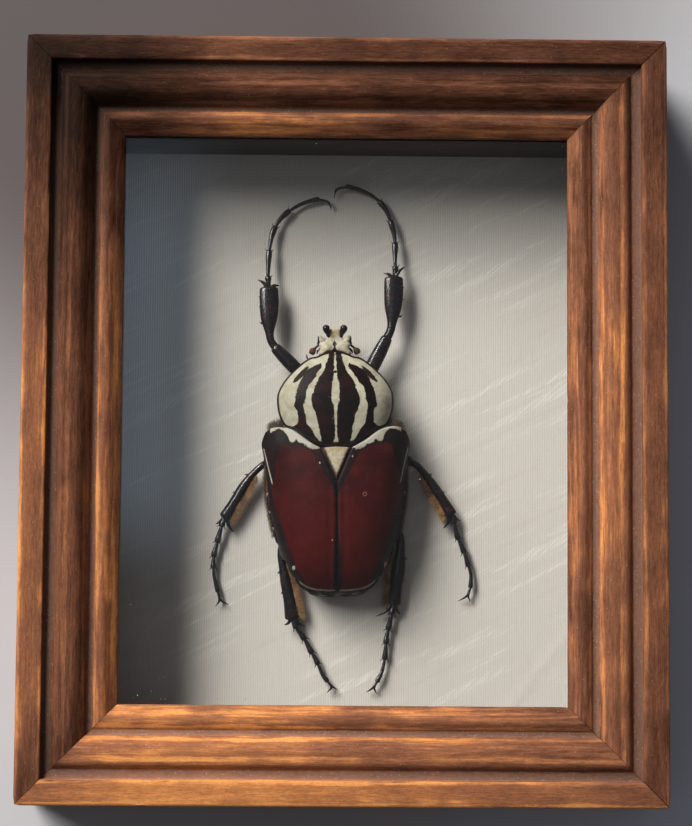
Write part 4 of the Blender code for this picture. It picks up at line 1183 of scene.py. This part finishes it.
def floor_paint():
    """A pale sheet, with a grey patch of painted shadow beyond the frame's top left corner and a paler patch
    of painted light at its right.
    """
    paint = Paint("pale_floor", specular_ior_level=0.3)
    place = paint.place()
    x, y, _ = paint.parts(place)
    grain = paint.stretched_noise((40, 40, 40), 4, 0.5)
    fine = paint.stretched_noise((0.8, 0.8, 0.8), 3, 0.5)
    sheet = paint.mix(grain, tint(186, 186, 190), tint(196, 196, 199))
    # Grey painted shadow beyond the top left corner, and pale bluish painted light at the right where the
    # frame's own shadow falls
    for centre, reach, full, colour in (
        ((-60, 120), (230, 190), 0.25, tint(92, 86, 86)),
        ((130, -60), (150, 220), 0.2, tint(226, 232, 246)),
    ):
        patch = paint.step(paint.distance(x, y, centre, reach), 1.0, full)
        sheet = paint.mix(patch, sheet, colour)
    paint.set("Base Color", sheet)
    paint.set("Roughness", 0.7 + fine * 0.15)
    return paint


# Frame and its layers


def rounded(corners, radius):
    """An outline with its sharp corners cut to short curves."""
    points = []
    count = len(corners)
    for k, corner in enumerate(corners):
        before = Vector(corners[k - 1]) - Vector(corner)
        after = Vector(corners[(k + 1) % count]) - Vector(corner)
        if before.angle(after) > math.radians(155) or min(before.length, after.length) < radius:
            points.append(Vector(corner))
            continue
        start = Vector(corner) + before.normalized() * radius
        end = Vector(corner) + after.normalized() * radius
        for t in (0.0, 0.5, 1.0):
            middle = start.lerp(Vector(corner), t).lerp(Vector(corner).lerp(end, t), t)
            points.append(middle)
    return points


def rail_section():
    """Section of a rail: distance in from its outer edge and height above its back."""
    section = [(0.0, 0.0)]
    for depth, drop, rise in MOULDING:
        start = Vector(section[-1])
        end = Vector((depth, FRAME_DEPTH - drop))
        steps = max(1, round((end - start).length / (SWELL_STEP if rise else FLAT_STEP)))
        if rise:
            steps = max(3, steps)
        out = Vector((start.y - end.y, end.x - start.x)).normalized()
        for k in range(1, steps + 1):
            t = k / steps
            section.append(tuple(start.lerp(end, t) + out * rise * math.sin(math.pi * t)))
    section += [(RAIL_WIDTH, SIGHT_EDGE_TOP), (RAIL_WIDTH, LIP_UNDERSIDE)]
    section += [(REBATE_WALL, LIP_UNDERSIDE), (REBATE_WALL, 0.0)]
    return rounded(section, ARRIS_RADIUS)


def wear(body, depth_of_grain):
    """Sinks the surface a little: long waves, fine tool marks, and small dents along the arrises."""
    for vertex in body.verts:
        along, depth, height = vertex[depth_of_grain]
        spot = Vector((along / 9, depth / 4, height / 4))
        fine = Vector((along / 2.2, depth / 1.3, height / 1.3))
        sink = WEAR_DEPTH + WEAR_WAVES * noise(spot) + TOOL_MARKS * noise(fine)
        dent = noise(Vector((along / 3.5, depth / 2, 7.3)))
        if dent > DENT_START:
            sink += (dent - DENT_START) * DENT_DEPTH
        if depth < SPARED_STRIP:
            sink *= SPARED_SHARE
        vertex.co -= vertex.normal * max(sink, 0.0)


def make_rail(side, half_length, place, turn_degrees, corners, paint):
    body = bmesh.new()
    section = rail_section()
    mitre_gaps = [MITRE_GAP[corner] for corner in corners]
    rows = []
    for share in np.linspace(-1, 1, RAIL_SEGMENTS + 1):
        row = []
        for depth, height in section:
            tightness = MITRE_GAP_INSIDE if depth > RIM_WIDTH else 1.0
            reach = half_length - depth - mitre_gaps[0 if share < 0 else 1] * tightness
            corner = CORNER_RADIUS * (1 - math.sqrt(0.5))
            rounded_depth = max(depth, corner) if abs(share) == 1 else depth
            row.append((share * min(reach, half_length - corner), -rounded_depth, height))
        rows.append(row)
    grain = body.verts.layers.float_vector.new("grain")
    stain_and_shade = body.verts.layers.float.new("stain_and_shade")
    mitre = body.verts.layers.float.new("mitre")
    skin(body, rows)
    bmesh.ops.remove_doubles(body, verts=body.verts, dist=0.001)
    bmesh.ops.holes_fill(body, edges=body.edges, sides=0)
    turn_outwards(body)
    offset = rng.uniform(100, 900)
    for vertex in body.verts:
        along, minus_depth, height = vertex.co
        vertex[grain] = Vector((along + offset, -minus_depth, height))
        share = (along / half_length + 1) / 2
        share = 1 - share if side in ("bottom", "right") else share
        # The tone along the rail and on its bands: partly stain, partly painted shade and light
        tone = value_at(WOOD_TONE_AND_SHADE[side], share)
        depth = -minus_depth
        band = np.interp(depth, MOULDING_BANDS, (0.0, 1.0, 1.0, 2.0))
        tone += np.interp(band, (0, 1, 2), MOULDING_TONE_AND_SHADE[side])
        on_side = depth < ON_SIDE_DEPTH
        vertex[stain_and_shade] = float(SIDE_TONE + SIDE_TONE_SHARE * tone if on_side else tone)
        vertex[mitre] = float(half_length - depth - abs(along))
    body.normal_update()
    wear(body, grain)
    turn = Matrix.Rotation(math.radians(turn_degrees), 4, "Z")
    bmesh.ops.transform(body, matrix=Matrix.Translation(place) @ turn, verts=body.verts)
    name = f"moulded_rail_{side}"
    add_piece(name, body, paint, [f"rail_{side}"], crease=30)


def make_frame():
    paint = rail_paint()
    half_width = FRAME_WIDTH / 2
    half_height = FRAME_HEIGHT / 2
    top, bottom = (0, half_height, 0), (0, -half_height, 0)
    left, right = (-half_width, 0, 0), (half_width, 0, 0)
    make_rail("top", half_width, top, 0, ("top_left", "top_right"), paint)
    make_rail("bottom", half_width, bottom, 180, ("bottom_right", "bottom_left"), paint)
    make_rail("left", half_height, left, 90, ("bottom_left", "top_left"), paint)
    make_rail("right", half_height, right, -90, ("top_right", "bottom_right"), paint)


def crease_rise(x, y):
    """How far the soft slanting fold of the lining rises at a place."""
    start, end = Vector(CREASE_START), Vector(CREASE_END)
    line = end - start
    t = (Vector((x, y)) - start).dot(line) / line.length_squared
    away = abs((Vector((x, y)) - start).cross(line)) / line.length
    return CREASE_HEIGHT * hill((away, CREASE_REACH)) if 0 < t < 1 else 0.0


def make_lining():
    """Stretched cloth with fine upright ribs and a little slackness."""
    columns = round(CLOTH_WIDTH / RIB_PITCH * 4)
    rows = []
    for y in np.linspace(-CLOTH_HEIGHT / 2, CLOTH_HEIGHT / 2, CLOTH_ROWS + 1):
        row = []
        for x in np.linspace(-CLOTH_WIDTH / 2, CLOTH_WIDTH / 2, columns + 1):
            drift = RIB_DRIFT * noise(Vector((x / 30, y / 45, 0)))
            rib = math.cos(math.tau * (x + drift) / RIB_PITCH)
            slack = CLOTH_SLACK * noise(Vector((x / 22, y / 34, 3)))
            middle = CLOTH_TOP - CLOTH_SINK + slack + crease_rise(x, y)
            row.append((x, y, middle + RIB_HEIGHT * rib / 2))
        rows.append(row)
    body = bmesh.new()
    skin(body, rows, closed=False)
    border = [edge for edge in body.edges if edge.is_boundary]
    down = bmesh.ops.extrude_edge_only(body, edges=border)["geom"]
    for vertex in down:
        if isinstance(vertex, bmesh.types.BMVert):
            vertex.co.z = CLOTH_UNDERSIDE
    foot = [edge for edge in body.edges if edge.is_boundary]
    bmesh.ops.holes_fill(body, edges=foot, sides=0)
    lining = add_piece("silk_lining", body, cloth_paint(), ["lining_fabric"])


def finish_node(name, paint):
    """Gives a CAD node a better material."""
    for slot in frame["nodes"][name].material_slots:
        slot.material = paint.material


def finish_nodes():
    finish_node("glass_pane", glass_paint())
    finish_node("mount_board", board_paint("mount_board", tint(170, 160, 138), tint(192, 184, 164), 1.2))
    finish_node("back_panel", board_paint("hardboard", tint(96, 66, 44), tint(124, 88, 60), 0.8))
    across = plain_wood_paint("dark_wood_across", tint(40, 30, 26), tint(66, 50, 42), "x")
    upright = plain_wood_paint("dark_wood_upright", tint(40, 30, 26), tint(66, 50, 42), "y")
    for side, paint in (("top", across), ("bottom", across), ("left", upright), ("right", upright)):
        finish_node(f"spacer_{side}", paint)
    steel = steel_paint()
    finish_node("sawtooth_hanger", steel)
    for side in ("top", "bottom", "left", "right"):
        for number in (1, 2):
            finish_node(f"framing_point_{side}_{number}", steel)


def make_glass_dust():
    """Specks of dust that lie on the glass, most of them near its lower left corner."""
    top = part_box("glass_pane")[1].z / MM
    body = bmesh.new()
    for (x, y), spread, count in DUST_GROUPS:
        for _ in range(count):
            px = float(np.clip(x + rng.gauss(0, spread * 0.6), -DUST_HALF_WIDTH, DUST_HALF_WIDTH))
            py = float(np.clip(y + rng.gauss(0, spread * 0.6), -DUST_HALF_HEIGHT, DUST_HALF_HEIGHT))
            radius = rng.uniform(0.05, 0.14)
            shape = Matrix.Diagonal((radius * rng.uniform(0.8, 1.8), radius, 0.04, 1))
            turn = Matrix.Rotation(rng.uniform(0, 3), 4, "Z")
            place = Matrix.Translation((px, py, top + 0.03)) @ turn
            bmesh.ops.create_icosphere(body, subdivisions=1, radius=1, matrix=place @ shape)
    add_piece("glass_dust", body, dust_paint())


# Beetle's body


def make_pronotum():
    """The domed shield with its thin rim, and the keel between the fore legs."""
    centre = Vector((0, PRONOTUM_CENTRE_Y, 0))
    outline = whole_outline(PRONOTUM_OUTLINE, 61)
    rows, edges = [], []
    for scale in (0.001, *np.sin(np.linspace(0.05, math.pi / 2, 40)) * 0.975, 0.985, 0.995, 1.0):
        row, edge = [], []
        for point in outline:
            place = centre + (point - centre) * scale
            height = pronotum_height(place.x, place.y)
            away = (1 - scale) * (point - centre).length
            height += RIM_RISE * hill((away - RIM_PLACE, RIM_REACH)) - 0.1 * max(0.0, 0.25 - away)
            height += SHIELD_UNEVENNESS * noise(Vector((place.x / 2.5, place.y / 2.5, 1)))
            row.append(place + Vector((0, 0, height)))
            edge.append(away)
        rows.append(row)
        edges.append(edge)
    half_across, half_along = PROSTERNUM_HALF
    for scale, lift in ((0.985, 0.3), (0.955, 0.0), (0.8, -0.1)):
        rows.append(flat_ring(outline, centre, scale, PRONOTUM_UNDERSIDE + lift))
        edges.append([0.0] * len(outline))
    keel = ((1.0, PROSTERNUM_HEIGHTS[2]), (1.0, 5.0), (1.0, PROSTERNUM_HEIGHTS[1]), (0.8, 1.0))
    for scale, height in keel + ((0.5, PROSTERNUM_HEIGHTS[0]), (0.001, PROSTERNUM_HEIGHTS[0])):
        row = []
        for point in outline:
            arm = (point - centre).normalized()
            reach = scale / math.hypot(arm.x / half_across, arm.y / half_along)
            row.append(centre + arm * reach + Vector((0, 0, height)))
        rows.append(row)
        edges.append([0.0] * len(outline))
    body = bmesh.new()
    layer = body.verts.layers.float.new("edge")
    across = len(outline)
    for number, vertex in enumerate(skin(body, rows)):
        vertex[layer] = edges[number // (across + 1)][number % (across + 1) % across]
    add_piece("pronotum_shield", body, pronotum_paint(), ["pronotum"], True)


def elytron_edges(across, along):
    """The four edges of a wing case, as lists of points: front, rear, suture and side."""
    front = smooth_line(ELYTRON_FRONT, across + 1)
    rear = smooth_line(ELYTRON_REAR, across + 1)
    side = smooth_line(ELYTRON_SIDE, along + 1)
    corner, top, end = Vector(ELYTRON_FRONT[0]), Vector(SUTURE_TOP), Vector(SUTURE_END)
    suture = []
    for k in range(along + 1):
        share = k / along
        if share < SUTURE_TOP_SHARE:
            suture.append(corner.lerp(top, share / SUTURE_TOP_SHARE))
        else:
            suture.append(top.lerp(end, (share - SUTURE_TOP_SHARE) / (1 - SUTURE_TOP_SHARE)))
    return front, rear, suture, side


def rounded_drop(away, radius):
    """How far an edge rounded to a radius has dropped at a distance from it."""
    if away >= radius:
        return 0.0
    return radius * (1 - math.sqrt(1 - (1 - away / radius) ** 2))


def make_elytron(name, side_sign, paint):
    """One wing case: a curved shell filled in between its four edges, with low swellings."""
    across, along = ELYTRON_COLUMNS, ELYTRON_ROWS
    front, rear, suture, side = elytron_edges(across, along)
    rows = []
    for j in range(along + 1):
        t = j / along
        row = []
        for i in range(across + 1):
            s = i / across
            corners = (front[0].lerp(front[-1], s)).lerp(rear[0].lerp(rear[-1], s), t)
            point = front[i].lerp(rear[i], t) + suture[j].lerp(side[j], s) - corners
            height = elytra_height(point.x, point.y)
            for x, y, wide, long, rise in ELYTRON_SWELLINGS:
                height += rise * hill((point.x - x, wide), (point.y - y, long))
            width = (side[j] - suture[j]).length
            length = (front[i] - rear[i]).length
            for away in (s * width, (1 - s) * width, t * length, (1 - t) * length):
                height -= rounded_drop(away, EDGE_ROUNDING)
            if point.y < GROOVE_START:
                height -= GROOVE_DEPTH * hill((s * width - GROOVE_PLACE, GROOVE_REACH))
            row.append((side_sign * point.x, point.y, height))
        rows.append(row)
    body = bmesh.new()
    skin(body, rows, closed=False)
    bmesh.ops.recalc_face_normals(body, faces=body.faces)
    if sum(face.normal.z for face in body.faces) < 0:
        bmesh.ops.reverse_faces(body, faces=body.faces)
    bmesh.ops.solidify(body, geom=body.faces[:], thickness=ELYTRON_THICKNESS)
    case = f"wing_case_{name}"
    add_piece(case, body, paint, [f"elytron_{name}"], True, crease=60)


def make_scutellum():
    """The triangular plate between the wing cases, slightly crowned."""
    length = SCUTELLUM_FRONT - SCUTELLUM_TIP
    centre = Vector((0.0, -0.36))
    outline = []
    for k, corner in enumerate(SCUTELLUM_OUTLINE):
        following = Vector(SCUTELLUM_OUTLINE[(k + 1) % len(SCUTELLUM_OUTLINE)])
        outline += [Vector(corner).lerp(following, t) for t in (0, 0.25, 0.5, 0.75)]
    rows = []
    for scale, sink in SCUTELLUM_RINGS:
        row = []
        for point in outline:
            place = centre + (point - centre) * scale
            y = SCUTELLUM_FRONT + place.y * length
            height = along_stations(ELYTRA_CROWN, y) - 0.15 - sink
            row.append((place.x * SCUTELLUM_HALF_WIDTH, y, height))
        rows.append(row)
    body = bmesh.new()
    skin(body, rows)
    add_piece("scutellum_plate", body, scutellum_paint(), ["scutellum"], True)


def hind_body_section(y, shrink):
    """A ring across the body: a keel, hollows for the legs, flanks and an arched back."""
    flank = along_stations(FLANK_HALF_WIDTH, y) * shrink
    core = (along_stations(ELYTRA_HALF_WIDTH, y) - BACK_INSET) * shrink
    crown = along_stations(ELYTRA_CROWN, y) - BACK_SINK
    half = [(0.0, 0.3), (3.5 * shrink, 0.3), (5.0 * shrink, 0.7), (6.2 * shrink, 2.2)]
    half += [(7.0 * shrink, 4.4), (9.0 * shrink, 5.0), (flank * 0.7, 5.05), (flank - 1.2, 5.1)]
    half += [(flank - 0.3, 5.6), (flank, 6.3), (flank - 0.3, 7.0), (flank - 1.2, 7.4)]
    for k in range(15):
        x = core * math.cos(k * math.pi / 2 / 14)
        half.append((x, dome(x, core, 7.9, 6.3 + (crown - 6.3) * shrink)))
    return both_halves([Vector((x, y, height)) for x, height in half])


def make_hind_body():
    """Thorax with the lobes beside the shoulders, and abdomen in overlapping rings with its blunt tip."""
    brown = brown_chitin_paint("brown_chitin", tint(52, 30, 22), tint(92, 54, 34))
    thorax = bmesh.new()
    skin_with_ends(thorax, [hind_body_section(y, 1.0) for y in np.linspace(-0.5, -13.4, 14)])
    for side in (-1, 1):
        add_limb(thorax, mirrored(side, SHOULDER_LOBE), SHOULDER_LOBE_WIDTHS, around=20)
    add_piece("hind_thorax", thorax, brown, ["thorax"], True)
    rows = []
    for y in np.linspace(ABDOMEN_FRONT, ABDOMEN_REAR, 80):
        within = ((ABDOMEN_FRONT - y) / BODY_SEGMENT) % 1.0
        rows.append(hind_body_section(y, 1.0 - RING_DIP * (1 - within) ** 3))
    for share in (0.25, 0.5, 0.75, 0.92, 1.0):
        shrink = math.sqrt(max(1 - share**2, 0.0)) * 0.7 + 0.28
        rows.append(hind_body_section(ABDOMEN_REAR - TIP_LENGTH * share, shrink if share < 1 else 0.3))
    abdomen = bmesh.new()
    skin_with_ends(abdomen, rows)
    black = black_chitin_paint("abdomen_black", 0.6)
    add_piece("abdomen_rings", abdomen, black, ["abdomen"], True)


def make_flank_hair():
    """Short tawny down along the flanks and on the lobes beside the shoulders."""
    body = bmesh.new()
    for side in (-1, 1):
        for _ in range(FLANK_HAIRS):
            y = rng.uniform(-27.0, 0.0)
            flank = along_stations(FLANK_HALF_WIDTH, y)
            root = Vector((side * (flank - 0.35), y, rng.uniform(5.6, 7.2)))
            direction = Vector((side * 0.7, -0.9, rng.uniform(-0.1, 0.5))) + wobble(0.35)
            add_hair(body, root, direction, rng.uniform(0.8, 1.7), DOWN_WIDTH)
        line = smooth_line(mirrored(side, SHOULDER_LOBE), 40)
        for _ in range(LOBE_HAIRS):
            share = rng.random() ** 0.5
            spine = line[int(share * 39)]
            turn = rng.uniform(0, math.tau)
            radius = float(np.interp(share, (0, 0.5, 1), (2.4, 2.2, 1.6)))
            out = Vector((math.cos(turn), 0.1, math.sin(turn)))
            if out.z < -0.2:
                continue
            root = spine + out * radius
            direction = out * 0.35 + Vector((0.0, 0.9, 0.1)) + wobble(0.35)
            furthest = 12.3 - (abs(root.x) - 16.9) + rng.uniform(-0.9, 0.3)
            length = max(min(rng.uniform(1.0, 4.2), furthest - root.y), 0.5)
            add_hair(body, root, direction, length, DOWN_WIDTH)
    paint = hair_paint("brown_down", tint(70, 54, 40), tint(132, 106, 76))
    add_piece("flank_down", body, paint, on_beetle=True)


def make_head():
    """Head with its short forked horn, the lobes beside it, the eyes and the bristles on its front."""
    centre = Vector((0, HEAD_CENTRE_Y, 0))
    outline = whole_outline(HEAD_OUTLINE, 49)
    rows = []
    for scale, sink in HEAD_TOP_RINGS:
        row = []
        for point in outline:
            place = centre + (point - centre) * scale
            height = along_stations(HEAD_TOP, place.y) - sink
            height -= 0.45 * hill((place.x, 0.9), (place.y - 34.2, 1.6))
            height += 0.35 * hill((abs(place.x) - 2.7, 0.8), (place.y - 32.6, 1.8))
            row.append(place + Vector((0, 0, height)))
        rows.append(row)
    for scale, height in HEAD_UNDER_RINGS:
        rows.append(flat_ring(outline, centre, scale, height))
    head = bmesh.new()
    skin(head, rows)
    for side in (-1, 1):
        heights = [width * 0.8 for width in HEAD_LOBE_WIDTHS]
        add_limb(head, mirrored(side, HEAD_LOBE), HEAD_LOBE_WIDTHS, heights, around=14)
    add_piece("cream_head", head, head_paint(), ["head"], True)

    black = black_chitin_paint("horn_black", 0.15)
    prongs = bmesh.new()
    for side in (-1, 1):
        add_limb(prongs, HORN_PRONGS[side], HORN_PRONG_WIDTHS, around=18)
        eye = Matrix.Translation((side * 4.85, 33.9, 9.3)) @ Matrix.Diagonal((0.75, 0.9, 0.8, 1))
        bmesh.ops.create_icosphere(prongs, subdivisions=3, radius=1, matrix=eye)
        add_limb(prongs, mirrored(side, EYE_RIDGE), EYE_RIDGE_WIDTHS, around=8)
        add_limb(prongs, mirrored(side, CHEEK_RIDGE), CHEEK_RIDGE_WIDTHS, around=8)
    spine = [(-9.0, 30.5, 9.0), (-8.9, 29.8, 9.2), (-8.7, 29.0, 9.4)]
    add_limb(prongs, spine, (0.25, 0.5, 0.6), around=8)
    add_piece("horn_and_eyes", prongs, black, on_beetle=True)

    bristles = bmesh.new()
    for _ in range(BRISTLES):
        side = rng.choice((-1, 1))
        root = Vector((side * rng.uniform(2.6, 4.9), rng.uniform(33.6, 35.4), rng.uniform(8.6, 9.8)))
        direction = Vector((side * 0.8, 0.9, 0.2)) + wobble(0.5)
        add_hair(bristles, root, direction, rng.uniform(0.5, 1.3), BRISTLE_WIDTH)
    paint = hair_paint("pale_bristles", tint(120, 96, 64), tint(186, 168, 128))
    add_piece("head_bristles", bristles, paint, on_beetle=True)


def make_antennae():
    """Each a short stalk and a club of three leaves."""
    paint = brown_chitin_paint("antenna_brown", tint(54, 28, 21), tint(98, 58, 38))
    for name, side in (("antenna_left", -1), ("antenna_right", 1)):
        body = bmesh.new()
        add_limb(body, mirrored(side, ANTENNA_STALK), (0.9, 0.7, 0.9), around=10, along=16)
        for leaf in range(3):
            lift = (leaf - 1) * CLUB_LEAF_GAP
            tip = (7.5 + 0.1 * leaf, 30.6, 8.2 + lift)
            path = ((6.2, 32.4, 8.5 + lift * 0.6), (7.0, 31.6, 8.4 + lift), tip)
            add_limb(body, mirrored(side, path), (0.9, 2.1, 1.5), (0.35, 0.5, 0.4), around=14, along=18)
        add_piece(f"{name}_club", body, paint, [name], True)


# Legs


def raised(points):
    """Leg points, given from the lining, as places in the frame."""
    return [Vector((x, y, z + CLOTH_TOP)) for x, y, z in points]


def part_of(line, start, end, count=5):
    """Points along a stretch of a line, between two shares of it."""
    places = np.linspace(start, end, count) * (len(line) - 1)
    line = np.array(line)
    return [
        tuple(np.interp(place, range(len(line)), line[:, k]) for k in range(3)) for place in places
    ]


def add_spine(body, root, direction, length, width):
    tip = root + direction.normalized() * length
    add_limb(body, [root, root.lerp(tip, 0.5), tip], (width, width * 0.8, width * 0.15), around=6, along=12)


def make_femur(side, leg, paint):
    body = bmesh.new()
    width = leg["femur_width"]
    widths = (width * 0.7, width, width * 1.02, width * 0.78)
    heights = [w * FEMUR_HEIGHT_SHARE for w in widths]
    add_limb(body, raised(leg["femur"]), widths, heights, around=24, along=32, squareness=2.25)
    add_piece(f"{side}_thigh", body, paint, [f"{side}_femur"])


def make_tibia(side, leg, paint):
    body = bmesh.new()
    femur = raised(leg["femur"])
    path = [femur[-1].lerp(femur[-2], 0.12), *raised(leg["tibia"])]
    widths = (leg["tibia_widths"][0] * 0.95, *leg["tibia_widths"])
    heights = [TIBIA_HEIGHT * share for share in (0.75, 0.8, 1.0, 1.0, 0.8)]
    add_limb(body, path, widths, heights, around=24, along=36, squareness=2.3, ridges=0.05)
    ankle = path[-1]
    root = ankle.lerp(path[-2], 0.25)
    for x, y in leg["spurs"]:
        tip = Vector((x, y, ankle.z - 0.4))
        add_limb(body, [root, ankle.lerp(tip, 0.45), tip], (1.3, 1.2, 0.25), around=12, along=18)
    line = smooth_line(path, 30)
    outward = -1 if side.endswith("left") else 1
    teeth = (0.5, 0.7, 0.86) if leg["hair"] == 0 else (0.45, 0.72)
    for share in teeth:
        k = int(share * 29)
        tangent = (line[min(k + 1, 29)] - line[k - 1]).normalized()
        across = Vector((outward * abs(tangent.y), -outward * tangent.x * math.copysign(1, tangent.y), 0))
        half = value_at(widths, share) / 2
        add_spine(body, line[k] + across * (half - 0.5), across + tangent * 0.8, 1.25, 0.75)
    for _ in range(4):
        along = (ankle - path[-2]).normalized()
        add_spine(body, ankle - along * 0.4 + wobble(0.7), along + wobble(0.5), 1.1, 0.35)
    add_piece(f"{side}_shin", body, paint, [f"{side}_tibia"])


def make_tarsus(side, leg, paint):
    body = bmesh.new()
    tibia = raised(leg["tibia"])
    line = smooth_line([tibia[-1].lerp(tibia[-2], 0.1), *raised(leg["tarsus"])], 60)
    starts = (0.0, 0.19, 0.37, 0.55, 0.72, 1.0)
    for number in range(TARSUS_JOINTS):
        start, end = starts[number], starts[number + 1]
        last = number == TARSUS_JOINTS - 1
        path = part_of(line, max(start - 0.02, 0), end - 0.005)
        swell = (0.55, 0.72, 0.86, 1.08, 0.98)
        if last:
            swell = (0.5, 0.62, 0.7, 0.85, 0.95)
        widths = [TARSUS_WIDTH * s * (1 - 0.03 * number) for s in swell]
        add_limb(body, path, widths, [w * 0.82 for w in widths], around=14, along=18)
        tip = Vector(path[-1])
        tangent = (tip - Vector(path[-2])).normalized()
        across = tangent.cross(Vector((0, 0, 1))).normalized()
        for turn in () if last else (-1, 1):
            root = tip + across * turn * widths[-1] * 0.4 - tangent * 0.5
            add_spine(body, root, tangent + across * turn * 0.9 - Vector((0, 0, 0.3)), 1.2, 0.34)
    end = Vector(line[-1])
    bend = Vector((*leg["claw_bend"], end.z))
    for tip in raised(leg["claws"]):
        root = end.lerp(Vector(line[-4]), 0.5)
        add_limb(body, [root, bend.lerp(tip, 0.1), tip], (0.85, 0.8, 0.18), around=12, along=20)
    add_piece(f"{side}_foot", body, paint, [f"{side}_tarsus"])


def make_brush(side, leg, paint):
    """The tawny brush along one side of a tibia."""
    body = bmesh.new()
    line = smooth_line(raised(leg["tibia"]), 60)
    for _ in range(BRUSH_HAIRS):
        share = rng.uniform(0.16, 0.97)
        k = int(share * 59)
        tangent = (line[min(k + 1, 59)] - line[max(k - 1, 0)]).normalized()
        across = tangent.cross(Vector((0, 0, 1))).normalized() * -leg["hair"]
        widths = leg["tibia_widths"]
        half = value_at(widths, share) / 2
        root = line[k] + across * (half - 0.35) + Vector((0, 0, rng.uniform(-0.7, 0.6)))
        direction = across + tangent * rng.uniform(0.3, 0.9) + wobble(0.22)
        direction.z = direction.z * 0.6 - 0.05
        length = rng.uniform(1.9, 3.6) * min(1.0, 0.45 + share * 1.3)
        add_hair(body, root, direction, length, BRUSH_HAIR_WIDTH)
    add_piece(f"{side}_brush", body, paint, [f"{side}_hair_fringe"])


def make_legs():
    thigh = black_chitin_paint("thigh_black", 0.3)
    shin = black_chitin_paint("shin_black", 0.5, gloss=0.35)
    foot = black_chitin_paint("foot_black", 0.25, gloss=0.7)
    tawny = hair_paint("tawny_brush", tint(108, 68, 36), tint(228, 180, 116))
    for side, leg in LEGS.items():
        make_femur(side, leg, thigh)
        make_tibia(side, leg, shin)
        make_tarsus(side, leg, foot)
        if leg["hair"]:
            make_brush(side, leg, tawny)


# Surroundings


def make_floor():
    body = bmesh.new()
    bmesh.ops.create_grid(body, x_segments=1, y_segments=1, size=3.0)
    mesh = bpy.data.meshes.new("floor")
    body.to_mesh(mesh)
    body.free()
    mesh.materials.append(floor_paint().material)
    floor = bpy.data.objects.new("floor", mesh)
    bpy.context.scene.collection.objects.link(floor)


def make_lamp(name, direction, distance, size, power, colour):
    lamp = bpy.data.lights.new(name, "AREA")
    lamp.shape = "RECTANGLE"
    lamp.size, lamp.size_y = size
    lamp.energy = power
    lamp.color = colour
    made = bpy.data.objects.new(name, lamp)
    towards = Vector(direction).normalized()
    made.location = towards * distance
    made.rotation_euler = towards.to_track_quat("Z", "Y").to_euler()
    bpy.context.scene.collection.objects.link(made)
    return made


def spare_the_glass():
    """Keeps the lamps' mirror images out of the glass. Seen from the front right, one of them would hide the
    beetle.
    """
    group = bpy.data.collections.new("glass_without_glare")
    group.objects.link(frame["nodes"]["glass_pane"])
    group.collection_objects[0].light_linking.link_state = "EXCLUDE"
    for thing in bpy.context.scene.collection.objects:
        if thing.type == "LIGHT":
            thing.light_linking.receiver_collection = group


def light_room():
    """A window of three panes, a wide soft window behind it, and a dim room with a patch of sky."""
    for name, (direction, size, power) in WINDOW_PANES.items():
        make_lamp(name, direction, WINDOW_DISTANCE, (size, size), power, WINDOW_COLOUR)
    far = make_lamp("far_window", FAR_DIRECTION, FAR_DISTANCE, FAR_SIZE, FAR_POWER, FAR_COLOUR)
    far.visible_glossy = False
    spare_the_glass()
    world = bpy.data.worlds.new("room")
    bpy.context.scene.world = world
    world.use_nodes = True
    room = Nodes(world.node_tree)
    axes = dict(zip("xyz", room.parts(room.node("TexCoord", output="Generated"))))
    patch = None
    for axis, outside, inside in SKY_PATCH_EDGES:
        fade = room.step(axes[axis], outside, inside)
        patch = patch * fade if patch else fade
    sky = world.node_tree.nodes["Background"]
    room.feed(sky.inputs["Color"], room.mix(patch, ROOM_COLOUR, SKY_COLOUR))
    bpy.context.scene.view_settings.view_transform = "Standard"


def make_camera():
    lens = bpy.data.cameras.new("camera")
    lens.lens = CAMERA_LENS
    lens.sensor_width = 36.0
    camera = bpy.data.objects.new("camera", lens)
    camera.location = CAMERA_PLACE
    camera.rotation_euler = [math.radians(turn) for turn in CAMERA_TURN]
    bpy.context.scene.collection.objects.link(camera)
    bpy.context.scene.camera = camera


make_camera()
light_room()
make_floor()
make_frame()
make_lining()
finish_nodes()
make_glass_dust()
make_pronotum()
case_paint = elytron_paint()
make_elytron("left", -1, case_paint)
make_elytron("right", 1, case_paint)
make_scutellum()
make_hind_body()
make_flank_hair()
make_head()
make_antennae()
make_legs()
